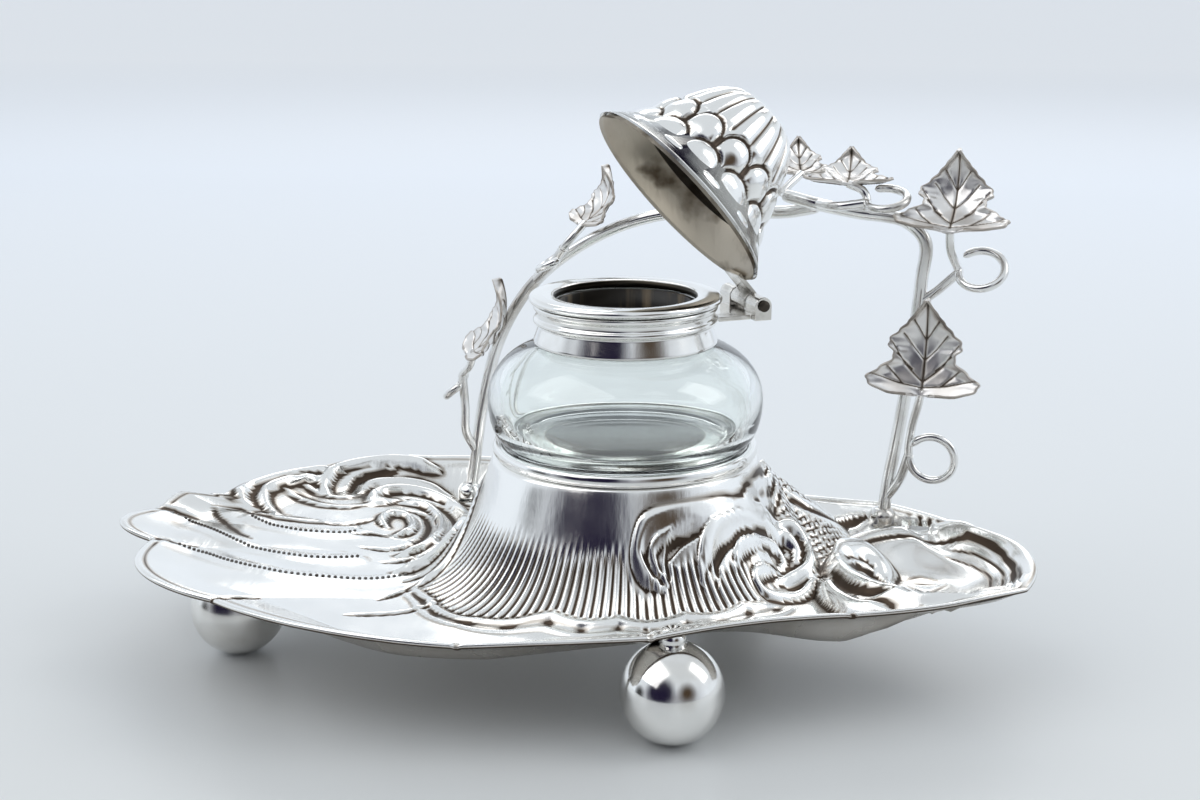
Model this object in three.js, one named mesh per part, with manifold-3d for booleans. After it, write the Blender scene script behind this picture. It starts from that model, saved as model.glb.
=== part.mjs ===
// A silver inkwell: a lobed rococo tray on three ball feet carries a loose glass well with a
// hinged bell-shaped lid, under an arch of ivy made of two wire stems, curled tendrils and leaves.
// Millimetres, +Z up. The long side of the tray runs along X, with the small basin at +X.
import * as THREE from "three";
import { mergeVertices } from "three/addons/utils/BufferGeometryUtils.js";
import Module from "manifold-3d";

const wasm = await Module();
wasm.setup();

// Shared clearances
const seatGap = 0.3; // between two pieces that touch
const overrun = 2; // how far a cutter runs past what it cuts

// Tray of sheet silver, drawn up into a dome under the well
const tray = {
  length: 212,
  width: 114,
  ahead: 14.5, // from the tray's middle to the well's axis, along X
  aside: 5, // the same along Y
  sheet: 1,
  floorHeight: 18,
  shellFloorHeight: 23,
  shellStart: 38,
  shellRun: 38,
  rimHeight: 24,
  rimRise: 5.5,
  lipWidth: 13,
  lobeDepth: 1.4,
  domeRadius: 29.6,
  domeHeight: 47,
  domeFlare: 7.85,
  columnPitch: 8.4,
};
const domeFallPower = 1.2;
const trayRingShares = [0, 0.04, 0.09, 0.15, 0.23, 0.34, 0.47, 0.61, 0.75, 0.87, 1];
const leastLobeSteps = 3;

// Where each lobe of the rim starts, in half lengths and half widths from the tray's middle,
// then its rise, how far it swells out per chord, and how deep its hollow is
const trayLobeShares = [
  [0.627, -0.588, 0.36, 0.055, 0],
  [0.967, -0.316, 0.64, 0.21, 0],
  [0.891, 0.228, 1, 0.04, 0],
  [0.703, 0.526, 1, -0.03, 0.2],
  [0.25, 0.825, 0.55, 0.03, 0.3],
  [-0.108, 0.982, 0.55, 0.06, 0.4],
  [-0.41, 0.982, 0.82, 0.06, 0.6],
  [-0.656, 0.789, 0.73, 0.08, 0.6],
  [-0.835, 0.333, 0.55, 0.38, 1],
  [-0.953, 0.202, 0.36, 0.37, 1],
  [-0.886, -0.154, 0.27, 0.22, 1],
  [-0.637, -0.711, 0.09, 0.11, 0.8],
  [-0.108, -0.982, 0, 0.03, 0.3],
  [0.25, -0.842, 0.09, -0.03, 0.3],
];

// Ridge that falls from the dome to the back right rim: along, across, and height by the dome's
const spurShares = [
  [0.429, 0.228, 0.936],
  [0.4575, 0.263, 0.851],
  [0.495, 0.316, 0.73],
  [0.533, 0.333, 0.696],
  [0.59, 0.4035, 0.66],
  [0.703, 0.51, 0.61],
];
const spurFallShare = 0.8; // how far the ridge drops per length beside its spine

// Scrolls raised on the tray: thickness by the relief radius, then places as degrees round the
// well's axis and the share of the way from the dome to the rim
const reliefShares = {
  scrollOuter: [
    1,
    [
      [-73.3, 0.3478],
      [-77.2, 0.2628],
      [-77.6, 0.1873],
      [-73.6, 0.1274],
      [-64.8, 0.0962],
      [-52.9, 0.0801],
      [-39.5, 0.0748],
      [-26.9, 0.0626],
    ],
  ],
  scrollMain: [
    1.15,
    [
      [-56.4, 0.237],
      [-55.3, 0.1825],
      [-49, 0.133],
      [-36.8, 0.0939],
      [-21.4, 0.0829],
      [-10.5, 0.116],
      [-5.4, 0.1824],
      [-6.2, 0.2121],
      [-14.3, 0.2221],
      [-23.9, 0.2413],
      [-28.5, 0.2356],
      [-27.8, 0.1927],
      [-22, 0.1704],
    ],
  ],
  basinFold: [
    1.15,
    [
      [-26.6, 0.7016],
      [-26.3, 0.5902],
      [-24.5, 0.4619],
      [-19.3, 0.3319],
      [-12, 0.2671],
      [-4, 0.2949],
      [0.1, 0.3916],
      [-1, 0.4758],
      [-5.9, 0.4943],
      [-10.5, 0.4676],
    ],
  ],
  shellCurl: [
    1,
    [
      [171.2, 0.7956],
      [169, 0.8699],
      [166.6, 0.9328],
      [163.8, 0.9477],
      [159.6, 0.947],
      [154.8, 0.928],
    ],
  ],
  rimCurl: [
    1,
    [
      [155.7, 0.7278],
      [158.6, 0.754],
      [158.5, 0.8204],
      [155.9, 0.8863],
      [152.2, 0.9192],
      [148, 0.9155],
      [143.2, 0.8918],
      [137.5, 0.8386],
    ],
  ],
  acanthusOuter: [
    1.15,
    [
      [158.5, 0.6578],
      [153.6, 0.7412],
      [148.4, 0.7738],
      [144.4, 0.7285],
      [142.9, 0.5971],
      [145.6, 0.4019],
      [153.9, 0.2142],
      [168.7, 0.123],
      [184.7, 0.1194],
      [193.6, 0.1974],
      [196.5, 0.2758],
    ],
  ],
  acanthusInner: [
    0.85,
    [
      [169.4, 0.3942],
      [163.7, 0.4804],
      [157.5, 0.552],
      [151.5, 0.6003],
      [148.9, 0.5579],
      [150.9, 0.4495],
      [157.1, 0.3352],
      [166.8, 0.257],
      [179.2, 0.2157],
      [187.6, 0.3232],
    ],
  ],
};
const relief = { radius: 1.7, sides: 4, steps: 14, sunkShare: 0.4 };

// Small basin at the right end
const basin = {
  alongShare: 0.785,
  acrossShare: -0.06,
  radius: 20.5,
  floorHeight: 20.5,
  crestHeight: 27.4,
  wall: 15,
  border: 1.7,
};

// Ball feet
const foot = { radius: 10.8, wornDepth: 0.15, neckRadius: 3.2 };
const footPlaceShares = {
  foot_front: [0.286, -0.754],
  foot_left: [-0.688, -0.195],
  foot_back: [0.363, 0.667],
};
const ballRows = 8;

// Seat ring on the dome, and the glass well that stands in it
const seatRing = { wall: 1.9, height: 2.6 };
const glass = {
  ringPlay: 0.4,
  footHeight: 3.2,
  footRound: 1.2,
  maxRadius: 30.9,
  equatorHeight: 12.4,
  height: 34,
  neckLength: 9, // from the shoulder up to the mouth
  neckRadius: 17,
  neckWall: 2.6,
  wall: 2.8,
  bottomWall: 4.2,
};
const glassArcSteps = 4;

// Silver collar, cemented on the glass neck, and the flat rim soldered on it
const cement = { thickness: 0.8, height: 7.2 };
const collar = {
  wall: 0.9,
  ridgeHeight: 3.6,
  ridgeProud: 1.1,
  bandProud: 1.2,
};
const rimPlate = {
  mouthStep: 1.2, // from the glass's mouth out to the plate's opening
  proud: 2.3, // beyond the collar
  thickness: 2,
};

// Hinge: it stands 28 degrees round from +X, and the lid rests 50 degrees open
const hingeTurn = 28;
const lidOpening = 50;
const hinge = {
  behindLip: 4.4, // from the closed lid's lip back to the pin
  drop: 3.4, // from the top of the rim plate down to the pin
  barrelRadius: 2,
  barrelLength: 19.4,
  middleLength: 7.6,
  endPlay: 0.4,
  leafThickness: 1,
  pinRadius: 0.75,
  headRadius: 1.3,
  headThickness: 0.6,
  baseLeafWidth: 15,
};

// Bell lid
const bell = {
  lipProud: 3.2, // beyond the rim plate
  height: 27.6,
  wall: 0.9,
  overlap: 1.1, // how far the lip hangs below the top of the rim plate when closed
  fluteDepth: 0.55,
};
const bellFlutes = 12;
const bellProfileShares = [
  [1, 0],
  [0.91, 0.065],
  [0.8, 0.17],
  [0.72, 0.29],
  [0.64, 0.49],
  [0.535, 0.72],
  [0.44, 0.86],
  [0.33, 0.95],
  [0.17, 0.99],
];

// Ivy arch: its rise over the feet of its two stems, a unit for places off its plane, and a unit
// for the places of the twigs round the stems
const vine = {
  rise: 75,
  footHeight: 26,
  offPlane: 10,
  twigReach: 20,
  coilGap: 0.5,
  stemRadius: 1.5,
  twigRadius: 1.1,
  tendrilRadius: 0.95,
  socketRadius: 3.1,
  socketHeight: 3,
  socketGap: 0.6, // between a socket and the tray
};
const vineFootShares = { left: [-0.297, 0.877], right: [0.6932, 0.4383] }; // as the rim's

// Ivy leaves
const leaf = { length: 20.5, width: 26, thickness: 0.6, fold: 1.6 };
const leafRowShares = [
  [-0.09, 0.15],
  [0, 0.4],
  [0.09, 0.5],
  [0.2, 0.42],
  [0.32, 0.26],
  [0.42, 0.3],
  [0.53, 0.31],
  [0.66, 0.22],
  [0.82, 0.12],
  [1, 0.02],
];

// Counts of sides and steps
const ringSides = 32;
const glassSides = 30;
const ballSides = 18;
const wireSides = 8;
const twigSides = 5;
const pinSides = 12;
const bellSides = 36;

const polished = { color: 0xd9d8d4, metalness: 1, roughness: 0.16 };
const satin = { color: 0xcfcdc8, metalness: 1, roughness: 0.34 };
const tarnished = { color: 0x8d8a84, metalness: 1, roughness: 0.42 };
const clear = { color: 0xe4f0ea, metalness: 0, roughness: 0.05, transparent: true, opacity: 0.35 };
const plaster = { color: 0xdad6cb, metalness: 0, roughness: 0.9 };

// Booleans

function solidOf(geometry) {
  const bare = (geometry.index ? geometry.toNonIndexed() : geometry).clone();
  bare.deleteAttribute("normal");
  bare.deleteAttribute("uv");
  const merged = mergeVertices(bare, 1e-4);
  const triVerts = [];
  const index = merged.index.array;
  for (let i = 0; i < index.length; i += 3) {
    const [a, b, c] = [index[i], index[i + 1], index[i + 2]];
    if (a !== b && b !== c && c !== a) triVerts.push(a, b, c);
  }
  return new wasm.Manifold(
    new wasm.Mesh({
      numProp: 3,
      vertProperties: merged.attributes.position.array,
      triVerts: new Uint32Array(triVerts),
    }),
  );
}

function geometryOf(solid) {
  const mesh = solid.getMesh();
  const geometry = new THREE.BufferGeometry();
  geometry.setAttribute("position", new THREE.BufferAttribute(mesh.vertProperties, 3));
  geometry.setIndex(new THREE.BufferAttribute(mesh.triVerts, 1));
  geometry.computeVertexNormals();
  return geometry;
}

function cut(geometry, ...cutters) {
  let solid = solidOf(geometry);
  for (const cutter of cutters) solid = solid.subtract(solidOf(cutter));
  return geometryOf(solid);
}

function join(...geometries) {
  let solid = solidOf(geometries[0]);
  for (const geometry of geometries.slice(1)) solid = solid.add(solidOf(geometry));
  return geometryOf(solid);
}

// Shapes

const smooth = (t) => {
  const s = Math.min(1, Math.max(0, t));
  return s * s * (3 - 2 * s);
};
const lerp = THREE.MathUtils.lerp;
const degrees = THREE.MathUtils.degToRad;

// A closed solid of revolution from rows of [radius, height]
function turned(rows, sides) {
  const profile = rows.map(([radius, height]) => new THREE.Vector2(radius, height));
  const geometry = new THREE.LatheGeometry(profile, sides);
  geometry.rotateX(degrees(90));
  return geometry;
}

// A ring: a closed profile, anticlockwise with the radius to the right, turned about the axis
function turnedRing(rows, sides) {
  return turned([...rows, rows[0]], sides);
}

// A solid between two grids of points of the same size, closed round its edges
function slab(top, bottom, wrap) {
  const rows = top.length;
  const columns = top[0].length;
  const positions = [];
  const index = [];
  for (const point of [...top.flat(), ...bottom.flat()]) positions.push(point.x, point.y, point.z);
  const below = rows * columns;
  const at = (row, column) => row * columns + (column % columns);
  const last = wrap ? columns : columns - 1;
  const quad = (a, b, c, d) => index.push(a, b, c, a, c, d);
  for (let row = 0; row + 1 < rows; row++) {
    for (let column = 0; column < last; column++) {
      const corners = [
        at(row, column),
        at(row + 1, column),
        at(row + 1, column + 1),
        at(row, column + 1),
      ];
      quad(...corners);
      quad(...corners.map((corner) => corner + below).reverse());
    }
  }
  for (let column = 0; column < last; column++) {
    const outer = [at(rows - 1, column), at(rows - 1, column + 1)];
    quad(outer[0], outer[0] + below, outer[1] + below, outer[1]);
    if (!wrap) {
      const inner = [at(0, column + 1), at(0, column)];
      quad(inner[0], inner[0] + below, inner[1] + below, inner[1]);
    }
  }
  for (let row = 0; !wrap && row + 1 < rows; row++) {
    const start = [at(row, 0), at(row + 1, 0)];
    quad(start[0], start[0] + below, start[1] + below, start[1]);
    const end = [at(row + 1, columns - 1), at(row, columns - 1)];
    quad(end[0], end[0] + below, end[1] + below, end[1]);
  }
  const geometry = new THREE.BufferGeometry();
  geometry.setAttribute("position", new THREE.Float32BufferAttribute(positions, 3));
  geometry.setIndex(index);
  return geometry;
}

// A round wire along points
function wire(points, radius, steps, sides) {
  const section = new THREE.Shape();
  for (let side = 0; side < sides; side++) {
    const angle = (side / sides) * 2 * Math.PI;
    const place = [radius * Math.cos(angle), radius * Math.sin(angle)];
    if (side === 0) section.moveTo(...place);
    else section.lineTo(...place);
  }
  section.closePath();
  const path = new THREE.CatmullRomCurve3(points, false, "centripetal");
  return new THREE.ExtrudeGeometry(section, { steps, extrudePath: path, curveSegments: 1 });
}

// Tray

const halfLength = tray.length / 2;
const halfWidth = tray.width / 2;
const trayPlace = ([alongShare, acrossShare]) =>
  new THREE.Vector2(alongShare * halfLength - tray.ahead, acrossShare * halfWidth - tray.aside);

function trayOutline() {
  const rim = [];
  trayLobeShares.forEach((lobe, i) => {
    const next = trayLobeShares[(i + 1) % trayLobeShares.length];
    const from = trayPlace(lobe);
    const to = trayPlace(next);
    const chord = to.clone().sub(from);
    const outward = new THREE.Vector2(chord.y, -chord.x);
    const bend = from.clone().lerp(to, 0.5).addScaledVector(outward, 2 * lobe[3]);
    const arc = new THREE.QuadraticBezierCurve(from, bend, to);
    const steps = Math.max(leastLobeSteps, Math.round(chord.length() / tray.columnPitch));
    for (let step = 0; step < steps; step++) {
      const share = step / steps;
      const point = arc.getPoint(share);
      rim.push({
        x: point.x,
        y: point.y,
        rise: lerp(lobe[2], next[2], share),
        hollow: lobe[4] * Math.sin(Math.PI * share),
      });
    }
  });
  return rim;
}

const rim = trayOutline();
const rimAngles = rim.map((point) => Math.atan2(point.y, point.x));

// The rim point in the direction of an angle seen from the well's axis
function rimAt(angle) {
  for (let i = 0; i < rim.length; i++) {
    const next = (i + 1) % rim.length;
    const sweep = Math.atan2(
      Math.sin(rimAngles[next] - rimAngles[i]),
      Math.cos(rimAngles[next] - rimAngles[i]),
    );
    const turn = Math.atan2(Math.sin(angle - rimAngles[i]), Math.cos(angle - rimAngles[i]));
    if (turn < 0 || turn > sweep) continue;
    const share = turn / sweep;
    const blend = (key) => lerp(rim[i][key], rim[next][key], share);
    return { x: blend("x"), y: blend("y"), rise: blend("rise"), hollow: blend("hollow") };
  }
  return rim[0];
}

const basinPlace = trayPlace([basin.alongShare, basin.acrossShare]);

const spurPlaces = spurShares.map((shares) => {
  const place = trayPlace(shares);
  return { x: place.x, y: place.y, height: shares[2] * tray.domeHeight };
});

// Height of the ridge's flank over a point
function spurHeight(x, y) {
  let height = 0;
  for (let i = 0; i + 1 < spurPlaces.length; i++) {
    const [from, to] = [spurPlaces[i], spurPlaces[i + 1]];
    const run = { x: to.x - from.x, y: to.y - from.y };
    const along = ((x - from.x) * run.x + (y - from.y) * run.y) / (run.x ** 2 + run.y ** 2);
    const share = Math.min(1, Math.max(0, along));
    const away = Math.hypot(x - from.x - share * run.x, y - from.y - share * run.y);
    height = Math.max(height, lerp(from.height, to.height, share) - spurFallShare * away);
  }
  return height;
}

// Height of the tray's upper face, from the rim point on the same ray from the well's axis
function trayHeight(x, y, edge) {
  const out = Math.hypot(x, y);
  if (out <= tray.domeRadius) return tray.domeHeight;
  const inFromRim = Math.hypot(edge.x, edge.y) - out;
  const shell = smooth((-x - tray.shellStart) / tray.shellRun);
  const floor = lerp(tray.floorHeight, tray.shellFloorHeight, shell);
  const lip = smooth(1 - inFromRim / tray.lipWidth);
  const rimTop = tray.rimHeight + tray.rimRise * edge.rise;
  const fall = Math.exp(-(((out - tray.domeRadius) / tray.domeFlare) ** domeFallPower));
  let height = floor + (rimTop - floor) * lip;
  height += (tray.domeHeight - floor) * fall * (1 - lip);
  height += tray.lobeDepth * edge.hollow * smooth(1 - inFromRim / halfWidth) * (1 - fall);
  height = Math.max(height, spurHeight(x, y));
  const fromBasin = Math.hypot(x - basinPlace.x, y - basinPlace.y) - basin.radius;
  const bowl = lerp(basin.floorHeight, basin.crestHeight, smooth(1 + fromBasin / basin.wall));
  if (fromBasin < 0) height = lerp(bowl, height, lip);
  else height = Math.max(height, basin.crestHeight - fromBasin);
  return height;
}

function surfaceAt(x, y) {
  return trayHeight(x, y, rimAt(Math.atan2(y, x)));
}

// A solid over the tray's plan, from one height over its upper face to one under its lower face
function trayBlock(raise, lower) {
  const places = trayRingShares.map((share) =>
    rim.map((edge) => {
      const length = Math.hypot(edge.x, edge.y);
      const out = lerp(tray.domeRadius, length, share);
      return { edge, x: (edge.x / length) * out, y: (edge.y / length) * out };
    }),
  );
  places.unshift(places[0].map(({ edge }) => ({ edge, x: 0, y: 0 })));
  const probe = tray.sheet;
  const top = places.map((ring) =>
    ring.map(({ x, y, edge }) => new THREE.Vector3(x, y, trayHeight(x, y, edge) + raise)),
  );
  const bottom = places.map((ring) =>
    ring.map(({ x, y, edge }) => {
      const out = Math.hypot(x, y);
      const height = trayHeight(x, y, edge);
      const inward = out > tray.domeRadius ? 1 - probe / out : 1;
      const slope = (trayHeight(x * inward, y * inward, edge) - height) / probe;
      const down = tray.sheet * Math.hypot(1, slope);
      return new THREE.Vector3(x, y, height - down - lower);
    }),
  );
  return slab(top, bottom, true);
}

const basinBorder = turnedRing(
  Array.from({ length: wireSides }, (_, side) => {
    const angle = (side / wireSides) * 2 * Math.PI;
    return [
      basin.radius + basin.border * Math.cos(angle),
      basin.crestHeight + (basin.border * Math.sin(angle)) / 2,
    ];
  }),
  ringSides,
).translate(basinPlace.x, basinPlace.y, 0);

function reliefScroll([thick, shares], grown = 0) {
  const radius = relief.radius * thick;
  const points = shares.map(([turn, outShare]) => {
    const edge = rimAt(degrees(turn));
    const out = lerp(tray.domeRadius, Math.hypot(edge.x, edge.y), outShare);
    const [x, y] = [out * Math.cos(degrees(turn)), out * Math.sin(degrees(turn))];
    return new THREE.Vector3(x, y, surfaceAt(x, y) + radius * relief.sunkShare);
  });
  return wire(points, radius + grown, relief.steps, relief.sides);
}

const scrolls = Object.values(reliefShares).map((scroll) => reliefScroll(scroll));
const grownScrolls = Object.values(reliefShares).map((scroll) => reliefScroll(scroll, seatGap));
const traySheet = join(trayBlock(0, 0), basinBorder, ...scrolls);
const overTray = trayBlock(tray.length, seatGap);
const underTray = trayBlock(seatGap, tray.length);
const underSockets = trayBlock(vine.socketGap, tray.length);

// Feet

function ballFoot(place) {
  const centre = foot.radius - foot.wornDepth;
  const wornAngle = Math.acos(centre / foot.radius);
  const neckAngle = Math.PI - Math.asin(foot.neckRadius / foot.radius);
  const rows = [[0, 0]];
  for (let row = 0; row <= ballRows; row++) {
    const angle = lerp(wornAngle, neckAngle, row / ballRows);
    rows.push([foot.radius * Math.sin(angle), centre - foot.radius * Math.cos(angle)]);
  }
  const neckTop = surfaceAt(place.x, place.y) + overrun;
  rows.push([foot.neckRadius, neckTop], [0, neckTop]);
  return cut(turned(rows, ballSides).translate(place.x, place.y, 0), overTray);
}

// Seat ring and glass well, turned about the well's axis

const ringBase = tray.domeHeight + seatGap;
const ringOuter = tray.domeRadius;
const ringInner = ringOuter - seatRing.wall;
const ringRound = seatRing.wall / 3;
const ringTop = ringBase + seatRing.height;
const seatRingShape = turnedRing(
  [
    [ringInner, ringBase],
    [ringOuter, ringBase],
    [ringOuter, ringTop - ringRound],
    [ringOuter - ringRound, ringTop],
    [ringInner + ringRound, ringTop],
    [ringInner, ringTop - ringRound],
  ],
  ringSides,
);

const glassBase = tray.domeHeight + seatGap;
const glassFootRadius = ringInner - glass.ringPlay;
const glassShoulder = glass.height - glass.neckLength;

function glassShape() {
  const rows = [
    [0, glassBase],
    [glassFootRadius - glass.footRound, glassBase],
    [glassFootRadius, glassBase + glass.footRound],
  ];
  for (let step = 0; step <= glassArcSteps; step++) {
    const angle = degrees((90 * step) / glassArcSteps);
    rows.push([
      lerp(glassFootRadius, glass.maxRadius, Math.sin(angle)),
      glassBase + lerp(glass.equatorHeight, glass.footHeight, Math.cos(angle)),
    ]);
  }
  for (let step = 1; step <= glassArcSteps; step++) {
    const angle = degrees((90 * step) / glassArcSteps);
    rows.push([
      lerp(glass.neckRadius, glass.maxRadius, Math.cos(angle)),
      glassBase + lerp(glass.equatorHeight, glassShoulder, Math.sin(angle)),
    ]);
  }
  const neckInner = glass.neckRadius - glass.neckWall;
  rows.push([glass.neckRadius, glassBase + glass.height], [neckInner, glassBase + glass.height]);
  for (let step = glassArcSteps; step >= 0; step--) {
    const angle = degrees((90 * step) / glassArcSteps);
    rows.push([
      lerp(neckInner, glass.maxRadius - glass.wall, Math.cos(angle)),
      glassBase + lerp(glass.equatorHeight, glassShoulder - glass.wall / 2, Math.sin(angle)),
    ]);
  }
  const bottomRadius = glassFootRadius - glass.bottomWall;
  for (let step = glassArcSteps - 1; step >= 0; step--) {
    const angle = degrees((90 * step) / glassArcSteps);
    rows.push([
      lerp(bottomRadius, glass.maxRadius - glass.wall, Math.sin(angle)),
      glassBase + lerp(glass.equatorHeight, glass.bottomWall, Math.cos(angle)),
    ]);
  }
  rows.push([0, glassBase + glass.bottomWall]);
  return turned(rows, glassSides);
}

// Collar, cement and rim plate

const collarInner = glass.neckRadius + seatGap + cement.thickness + seatGap;
const collarOuter = collarInner + collar.wall;
const plateOpening = glass.neckRadius - glass.neckWall + rimPlate.mouthStep;
const plateRadius = collarOuter + rimPlate.proud;
const rimPlateTop = glassBase + glass.height + seatGap + rimPlate.thickness;
const rimPlateBase = rimPlateTop - rimPlate.thickness;
const collarTop = rimPlateBase - seatGap;
const collarBase = glassBase + glassShoulder + seatGap;
const cementTop = collarTop - seatGap;

const cementShape = turnedRing(
  [
    [glass.neckRadius + seatGap, cementTop - cement.height],
    [glass.neckRadius + seatGap + cement.thickness, cementTop - cement.height],
    [glass.neckRadius + seatGap + cement.thickness, cementTop],
    [glass.neckRadius + seatGap, cementTop],
  ],
  ringSides,
);

const ridgeMiddle = collarBase + collar.ridgeHeight;
const ridgeHalf = collar.ridgeProud / 2;
const collarShape = turnedRing(
  [
    [collarInner, collarBase],
    [collarOuter, collarBase],
    [collarOuter, ridgeMiddle - ridgeHalf],
    [collarOuter + collar.ridgeProud, ridgeMiddle - ridgeHalf / 2],
    [collarOuter + collar.ridgeProud, ridgeMiddle + ridgeHalf / 2],
    [collarOuter + collar.bandProud / 2, ridgeMiddle + ridgeHalf],
    [collarOuter + collar.bandProud, collarTop],
    [collarInner, collarTop],
  ],
  ringSides,
);

const plateRound = rimPlate.thickness / 4;
const rimPlateShape = turnedRing(
  [
    [plateOpening, rimPlateBase],
    [plateRadius - plateRound, rimPlateBase],
    [plateRadius, rimPlateBase + plateRound],
    [plateRadius, rimPlateTop - plateRound],
    [plateRadius - plateRound, rimPlateTop],
    [plateOpening + plateRound, rimPlateTop],
    [plateOpening, rimPlateTop - plateRound],
  ],
  ringSides,
);

// Hinge, in a frame whose X runs out from the well's axis and whose Y is the pin

const lipRadius = plateRadius + bell.lipProud;
const pinReach = lipRadius + hinge.behindLip;
const pinHeight = rimPlateTop - hinge.drop;
const leafTop = pinHeight - hinge.barrelRadius - seatGap;

function barrel(radius, length, middle, sides) {
  const rows = [
    [0, -length / 2],
    [radius, -length / 2],
    [radius, length / 2],
    [0, length / 2],
  ];
  const geometry = turned(rows, sides);
  geometry.rotateX(degrees(90));
  return geometry.translate(0, middle, 0);
}

function box(x0, x1, y0, y1, z0, z1) {
  const geometry = new THREE.BoxGeometry(x1 - x0, y1 - y0, z1 - z0);
  return geometry.translate((x0 + x1) / 2, (y0 + y1) / 2, (z0 + z1) / 2);
}

const pinBore = hinge.pinRadius + seatGap;
const endLength = (hinge.barrelLength - hinge.middleLength) / 2 - hinge.endPlay;

function hingeBaseLeaf() {
  const endMiddle = (hinge.barrelLength - endLength) / 2;
  const parts = [
    box(
      0,
      pinReach + hinge.barrelRadius,
      -hinge.baseLeafWidth / 2,
      hinge.baseLeafWidth / 2,
      leafTop - hinge.leafThickness,
      leafTop,
    ),
  ];
  for (const side of [-1, 1]) {
    const middle = side * endMiddle;
    const knuckle = barrel(hinge.barrelRadius, endLength, middle, pinSides * 2);
    parts.push(knuckle.translate(pinReach, 0, pinHeight));
    parts.push(
      box(
        pinReach - hinge.barrelRadius,
        pinReach + hinge.barrelRadius,
        middle - endLength / 2,
        middle + endLength / 2,
        leafTop - hinge.leafThickness,
        pinHeight,
      ),
    );
  }
  const bore = barrel(pinBore, hinge.barrelLength + overrun, 0, pinSides);
  const neck = turned(
    [
      [0, collarBase - overrun],
      [collarOuter + collar.ridgeProud + seatGap, collarBase - overrun],
      [collarOuter + collar.ridgeProud + seatGap, rimPlateTop],
      [0, rimPlateTop],
    ],
    ringSides,
  );
  return cut(join(...parts), bore.translate(pinReach, 0, pinHeight), neck);
}

function hingePin() {
  const half = hinge.barrelLength / 2 + seatGap;
  const crown = hinge.headThickness / 2;
  const rows = [
    [0, -half - hinge.headThickness],
    [hinge.headRadius / 2, -half - hinge.headThickness],
    [hinge.headRadius, -half - crown],
    [hinge.headRadius, -half],
    [hinge.pinRadius, -half],
    [hinge.pinRadius, half],
    [hinge.headRadius, half],
    [hinge.headRadius, half + crown],
    [hinge.headRadius / 2, half + hinge.headThickness],
    [0, half + hinge.headThickness],
  ];
  const geometry = turned(rows, pinSides);
  geometry.rotateX(degrees(90));
  return geometry.translate(pinReach, 0, pinHeight);
}

// Lid, in a frame with the pin along Y at its origin, drawn closed

const mouthHeight = rimPlateTop - bell.overlap - pinHeight;

function lidLeaf() {
  const plateTop = mouthHeight - seatGap;
  const plate = box(
    -pinReach + plateRadius + 2 * seatGap,
    0,
    -hinge.middleLength / 2,
    hinge.middleLength / 2,
    plateTop - hinge.leafThickness,
    plateTop,
  );
  const knuckle = barrel(hinge.barrelRadius, hinge.middleLength, 0, pinSides * 2);
  const bore = barrel(pinBore, hinge.middleLength + overrun, 0, pinSides);
  return cut(join(knuckle, plate), bore);
}

function bellShape() {
  const heights = bellProfileShares.map(([, heightShare]) => heightShare * bell.height);
  const radii = bellProfileShares.map(([radiusShare]) => radiusShare * lipRadius);
  const flute = (radius, heightShare, angle) => {
    const window = smooth(heightShare * 6) * smooth((1 - heightShare) * 4);
    return radius + bell.fluteDepth * window * Math.cos(bellFlutes * angle);
  };
  const shell = (inset) =>
    bellProfileShares.map(([, heightShare], row) => {
      const ring = [];
      for (let side = 0; side < bellSides; side++) {
        const angle = (side / bellSides) * 2 * Math.PI;
        const radius = flute(radii[row], heightShare, angle) - inset;
        const height = heights[row] - inset * heightShare;
        ring.push(new THREE.Vector3(radius * Math.cos(angle), radius * Math.sin(angle), height));
      }
      return ring;
    });
  const outer = shell(0);
  const inner = shell(bell.wall);
  outer.push(outer[0].map(() => new THREE.Vector3(0, 0, bell.height)));
  inner.push(inner[0].map(() => new THREE.Vector3(0, 0, bell.height - bell.wall)));
  return slab(outer.reverse(), inner.reverse(), true).translate(-pinReach, 0, mouthHeight);
}

// Ivy

const vineFoot = trayPlace(vineFootShares.left);
const vineRun = trayPlace(vineFootShares.right).sub(vineFoot);
const vineSpan = vineRun.length();
const alongVine = new THREE.Vector3(vineRun.x, vineRun.y, 0).normalize();
const offVine = new THREE.Vector3(-alongVine.y, alongVine.x, 0);

// A place on the arch from shares of its span, of the off-plane unit and of its rise
function vinePlace([spanShare, offShare, riseShare]) {
  return new THREE.Vector3(vineFoot.x, vineFoot.y, vine.footHeight + riseShare * vine.rise)
    .addScaledVector(alongVine, spanShare * vineSpan)
    .addScaledVector(offVine, offShare * vine.offPlane);
}

const stemShares = {
  stem_left: [
    [-0.008, 0, -0.12],
    [0.014, 0, 0.065],
    [0.038, 0, 0.265],
    [0.083, 0, 0.487],
    [0.168, 0, 0.681],
    [0.31, 0, 0.84],
    [0.465, 0.05, 0.93],
    [0.64, 0.1, 0.955],
    [0.76, 0.19, 0.962],
    [0.835, 0.19, 0.985],
  ],
  stem_right: [
    [0.998, 0, -0.08],
    [1.007, 0, 0.106],
    [1.027, 0, 0.305],
    [1.046, 0, 0.531],
    [1.06, 0, 0.781],
    [1.063, 0, 0.9],
    [1.019, 0, 0.957],
    [0.92, -0.08, 0.977],
    [0.835, -0.17, 0.998],
    [0.755, -0.17, 1.023],
  ],
};
const stemSteps = 22;
const socketShare = 0.03;

function stem(name) {
  return wire(stemShares[name].map(vinePlace), vine.stemRadius, stemSteps, wireSides);
}

function grownStem(name) {
  return wire(stemShares[name].map(vinePlace), vine.stemRadius + seatGap, stemSteps, wireSides);
}

function stemCurve(name) {
  return new THREE.CatmullRomCurve3(stemShares[name].map(vinePlace), false, "centripetal");
}

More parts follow.
